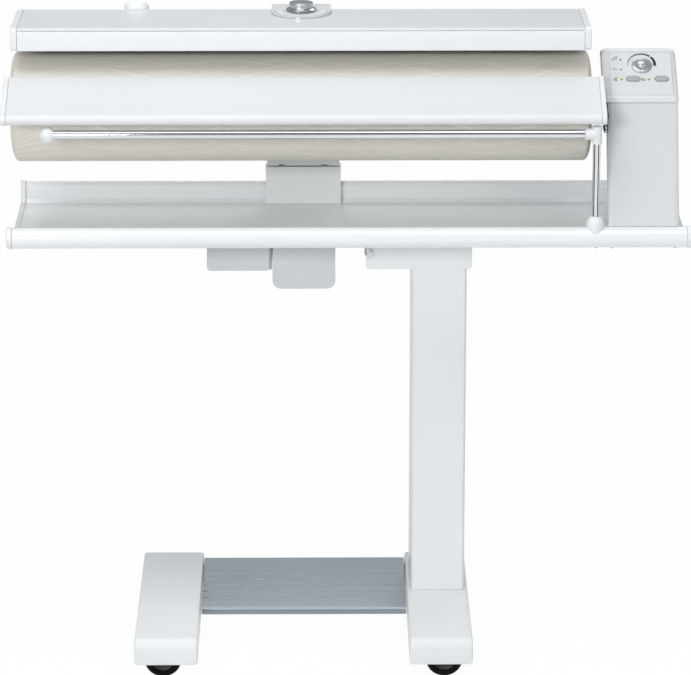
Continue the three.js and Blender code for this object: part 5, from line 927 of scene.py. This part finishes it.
# %% Lamps and signs on the panel
PANEL_FACE = PANEL @ Matrix.Translation(Vector((0, 0, FASCIA_TOP)) * MM)
LENS_PROFILE = rounded([(0, -0.2), (1.25, -0.2), (1.25, 0.25, 0.1), (0.8, 0.55, 0.3), (0, 0.65)])
LAMPS = [("lamp_top", 393.7, 70.3, scale_print, False), ("lamp_middle", 393.9, 51.6, lamp_lens, False),
         ("lamp_left", 393.7, 32.4, lamp_lens, True), ("lamp_right", 433.1, 32.3, lamp_lens, True)]
for name, x, up, lens, ringed in LAMPS:
    lens_form = turned(LENS_PROFILE, (x, up, 0), (0, 0, 1), 24)
    printed(name + "_lens", lens_form, PANEL_FACE, lens, "upper_unit")
    halo_form = ring_mark((x, up), 1.3, 2.5 if ringed else 1.8, 0, 360, 0.1)
    printed(name + "_ring", halo_form, PANEL_FACE, lamp_ring if ringed else fascia_film, "upper_unit")
SIGNS = [
    ring_mark((386.6, 74.2), 1.7, 2.2, 0, 360), bar_mark((383.2, 72), 4.4, 0.6, 55),
    bar_mark((380.6, 69.6), 0.6, 2, 0), bar_mark((383.4, 69.6), 2.6, 0.6, 0),
    bar_mark((387.2, 69.6), 2.4, 0.6, 0), bar_mark((389.2, 76.4), 2.2, 0.6, -60),
    bar_mark((382.6, 52.2), 3.4, 0.6, 60), bar_mark((385, 52.2), 3.4, 0.6, 60),
    bar_mark((387.6, 50.8), 3, 0.6, 0), ring_mark((385, 32.2), 1.9, 2.4, 0, 360),
    bar_mark((385, 32.2), 6, 0.6, -45), bar_mark((386.4, 36), 2.4, 0.6, 0),
    ring_mark((424.4, 32.2), 1.4, 2.1, 0, 360), bar_mark((426.2, 30.6), 2.2, 0.7, -45),
    bar_mark((429.8, 32.2), 3.6, 0.5, 90), bar_mark((422, 33.4), 2.2, 0.5, 60),
]
for number, sign in enumerate(SIGNS):
    printed(f"sign_{number:02d}", sign, PANEL_FACE, print_and_painted_shade, "upper_unit")
print(len(LAMPS), "lamps and", len(SIGNS), "strokes of small signs")

# %% [markdown]
# A few screws show: two hold the feed plate's bracket, three close the underside below the tower, and
# one holds the lift cover. Each is a turned pan head with a round recess for the driver.

# %% Screws
SCREW_HEAD = rounded([
    (0, -0.5), (1.1, -0.5), (1.2, 0.9, 0.2), (2.2, 0.9, 0.5), (2.7, -0.4), (2.7, -1.2), (0, -1.2),
])
DOWN, LEFTWARD = (0, 0, -1), (-1, 0, 0)
SCREWS = {
    "bracket_screw_upper": ((366.3, -93, 806.5), LEFTWARD),
    "bracket_screw_lower": ((366.3, -93, 801), LEFTWARD),
    "under_screw_left": ((357.4, -70, 622.4), DOWN), "under_screw_middle": ((380.5, -70, 622.4), DOWN),
    "under_screw_right": ((471.3, -70, 622.4), DOWN), "lift_cover_screw": ((-62.8, -4, 622.4), DOWN),
}
for name, (centre, axis) in SCREWS.items():
    screw = finished(name, turned(SCREW_HEAD, centre, axis, 32), zinc_plate, body="upper_unit")
print(len(SCREWS), "screws")

# %% [markdown]
# What is left keeps its CAD solid: the drive in the tower, the axle and spring of the treadle, the core
# and shaft of the roller, the heater, the tank and the board. None of it is left bare, since it shows
# when the covers are off.

# %% Finishes of the inner pieces
INNER_FINISHES = {
    brushed_steel: ["roller_core", "roller_shaft", "roller_bearing", "lift_pin", "treadle_axle",
                    "treadle_spring", "heating_element"],
    dark_moulding_and_gap_shade: ["roller_pulley", "motor_pulley"],
    motor_paint: ["drive_motor", "lift_actuator"],
    black_rubber: ["drive_belt"],
    board_green: ["control_board"],
    milky_tank: ["water_tank"],
}
for material, nodes in INNER_FINISHES.items():
    for node in nodes:
        mesh = frame["nodes"][node].data
        mesh.materials.clear()
        mesh.materials.append(material)
    print(material.name, "on", ", ".join(nodes))
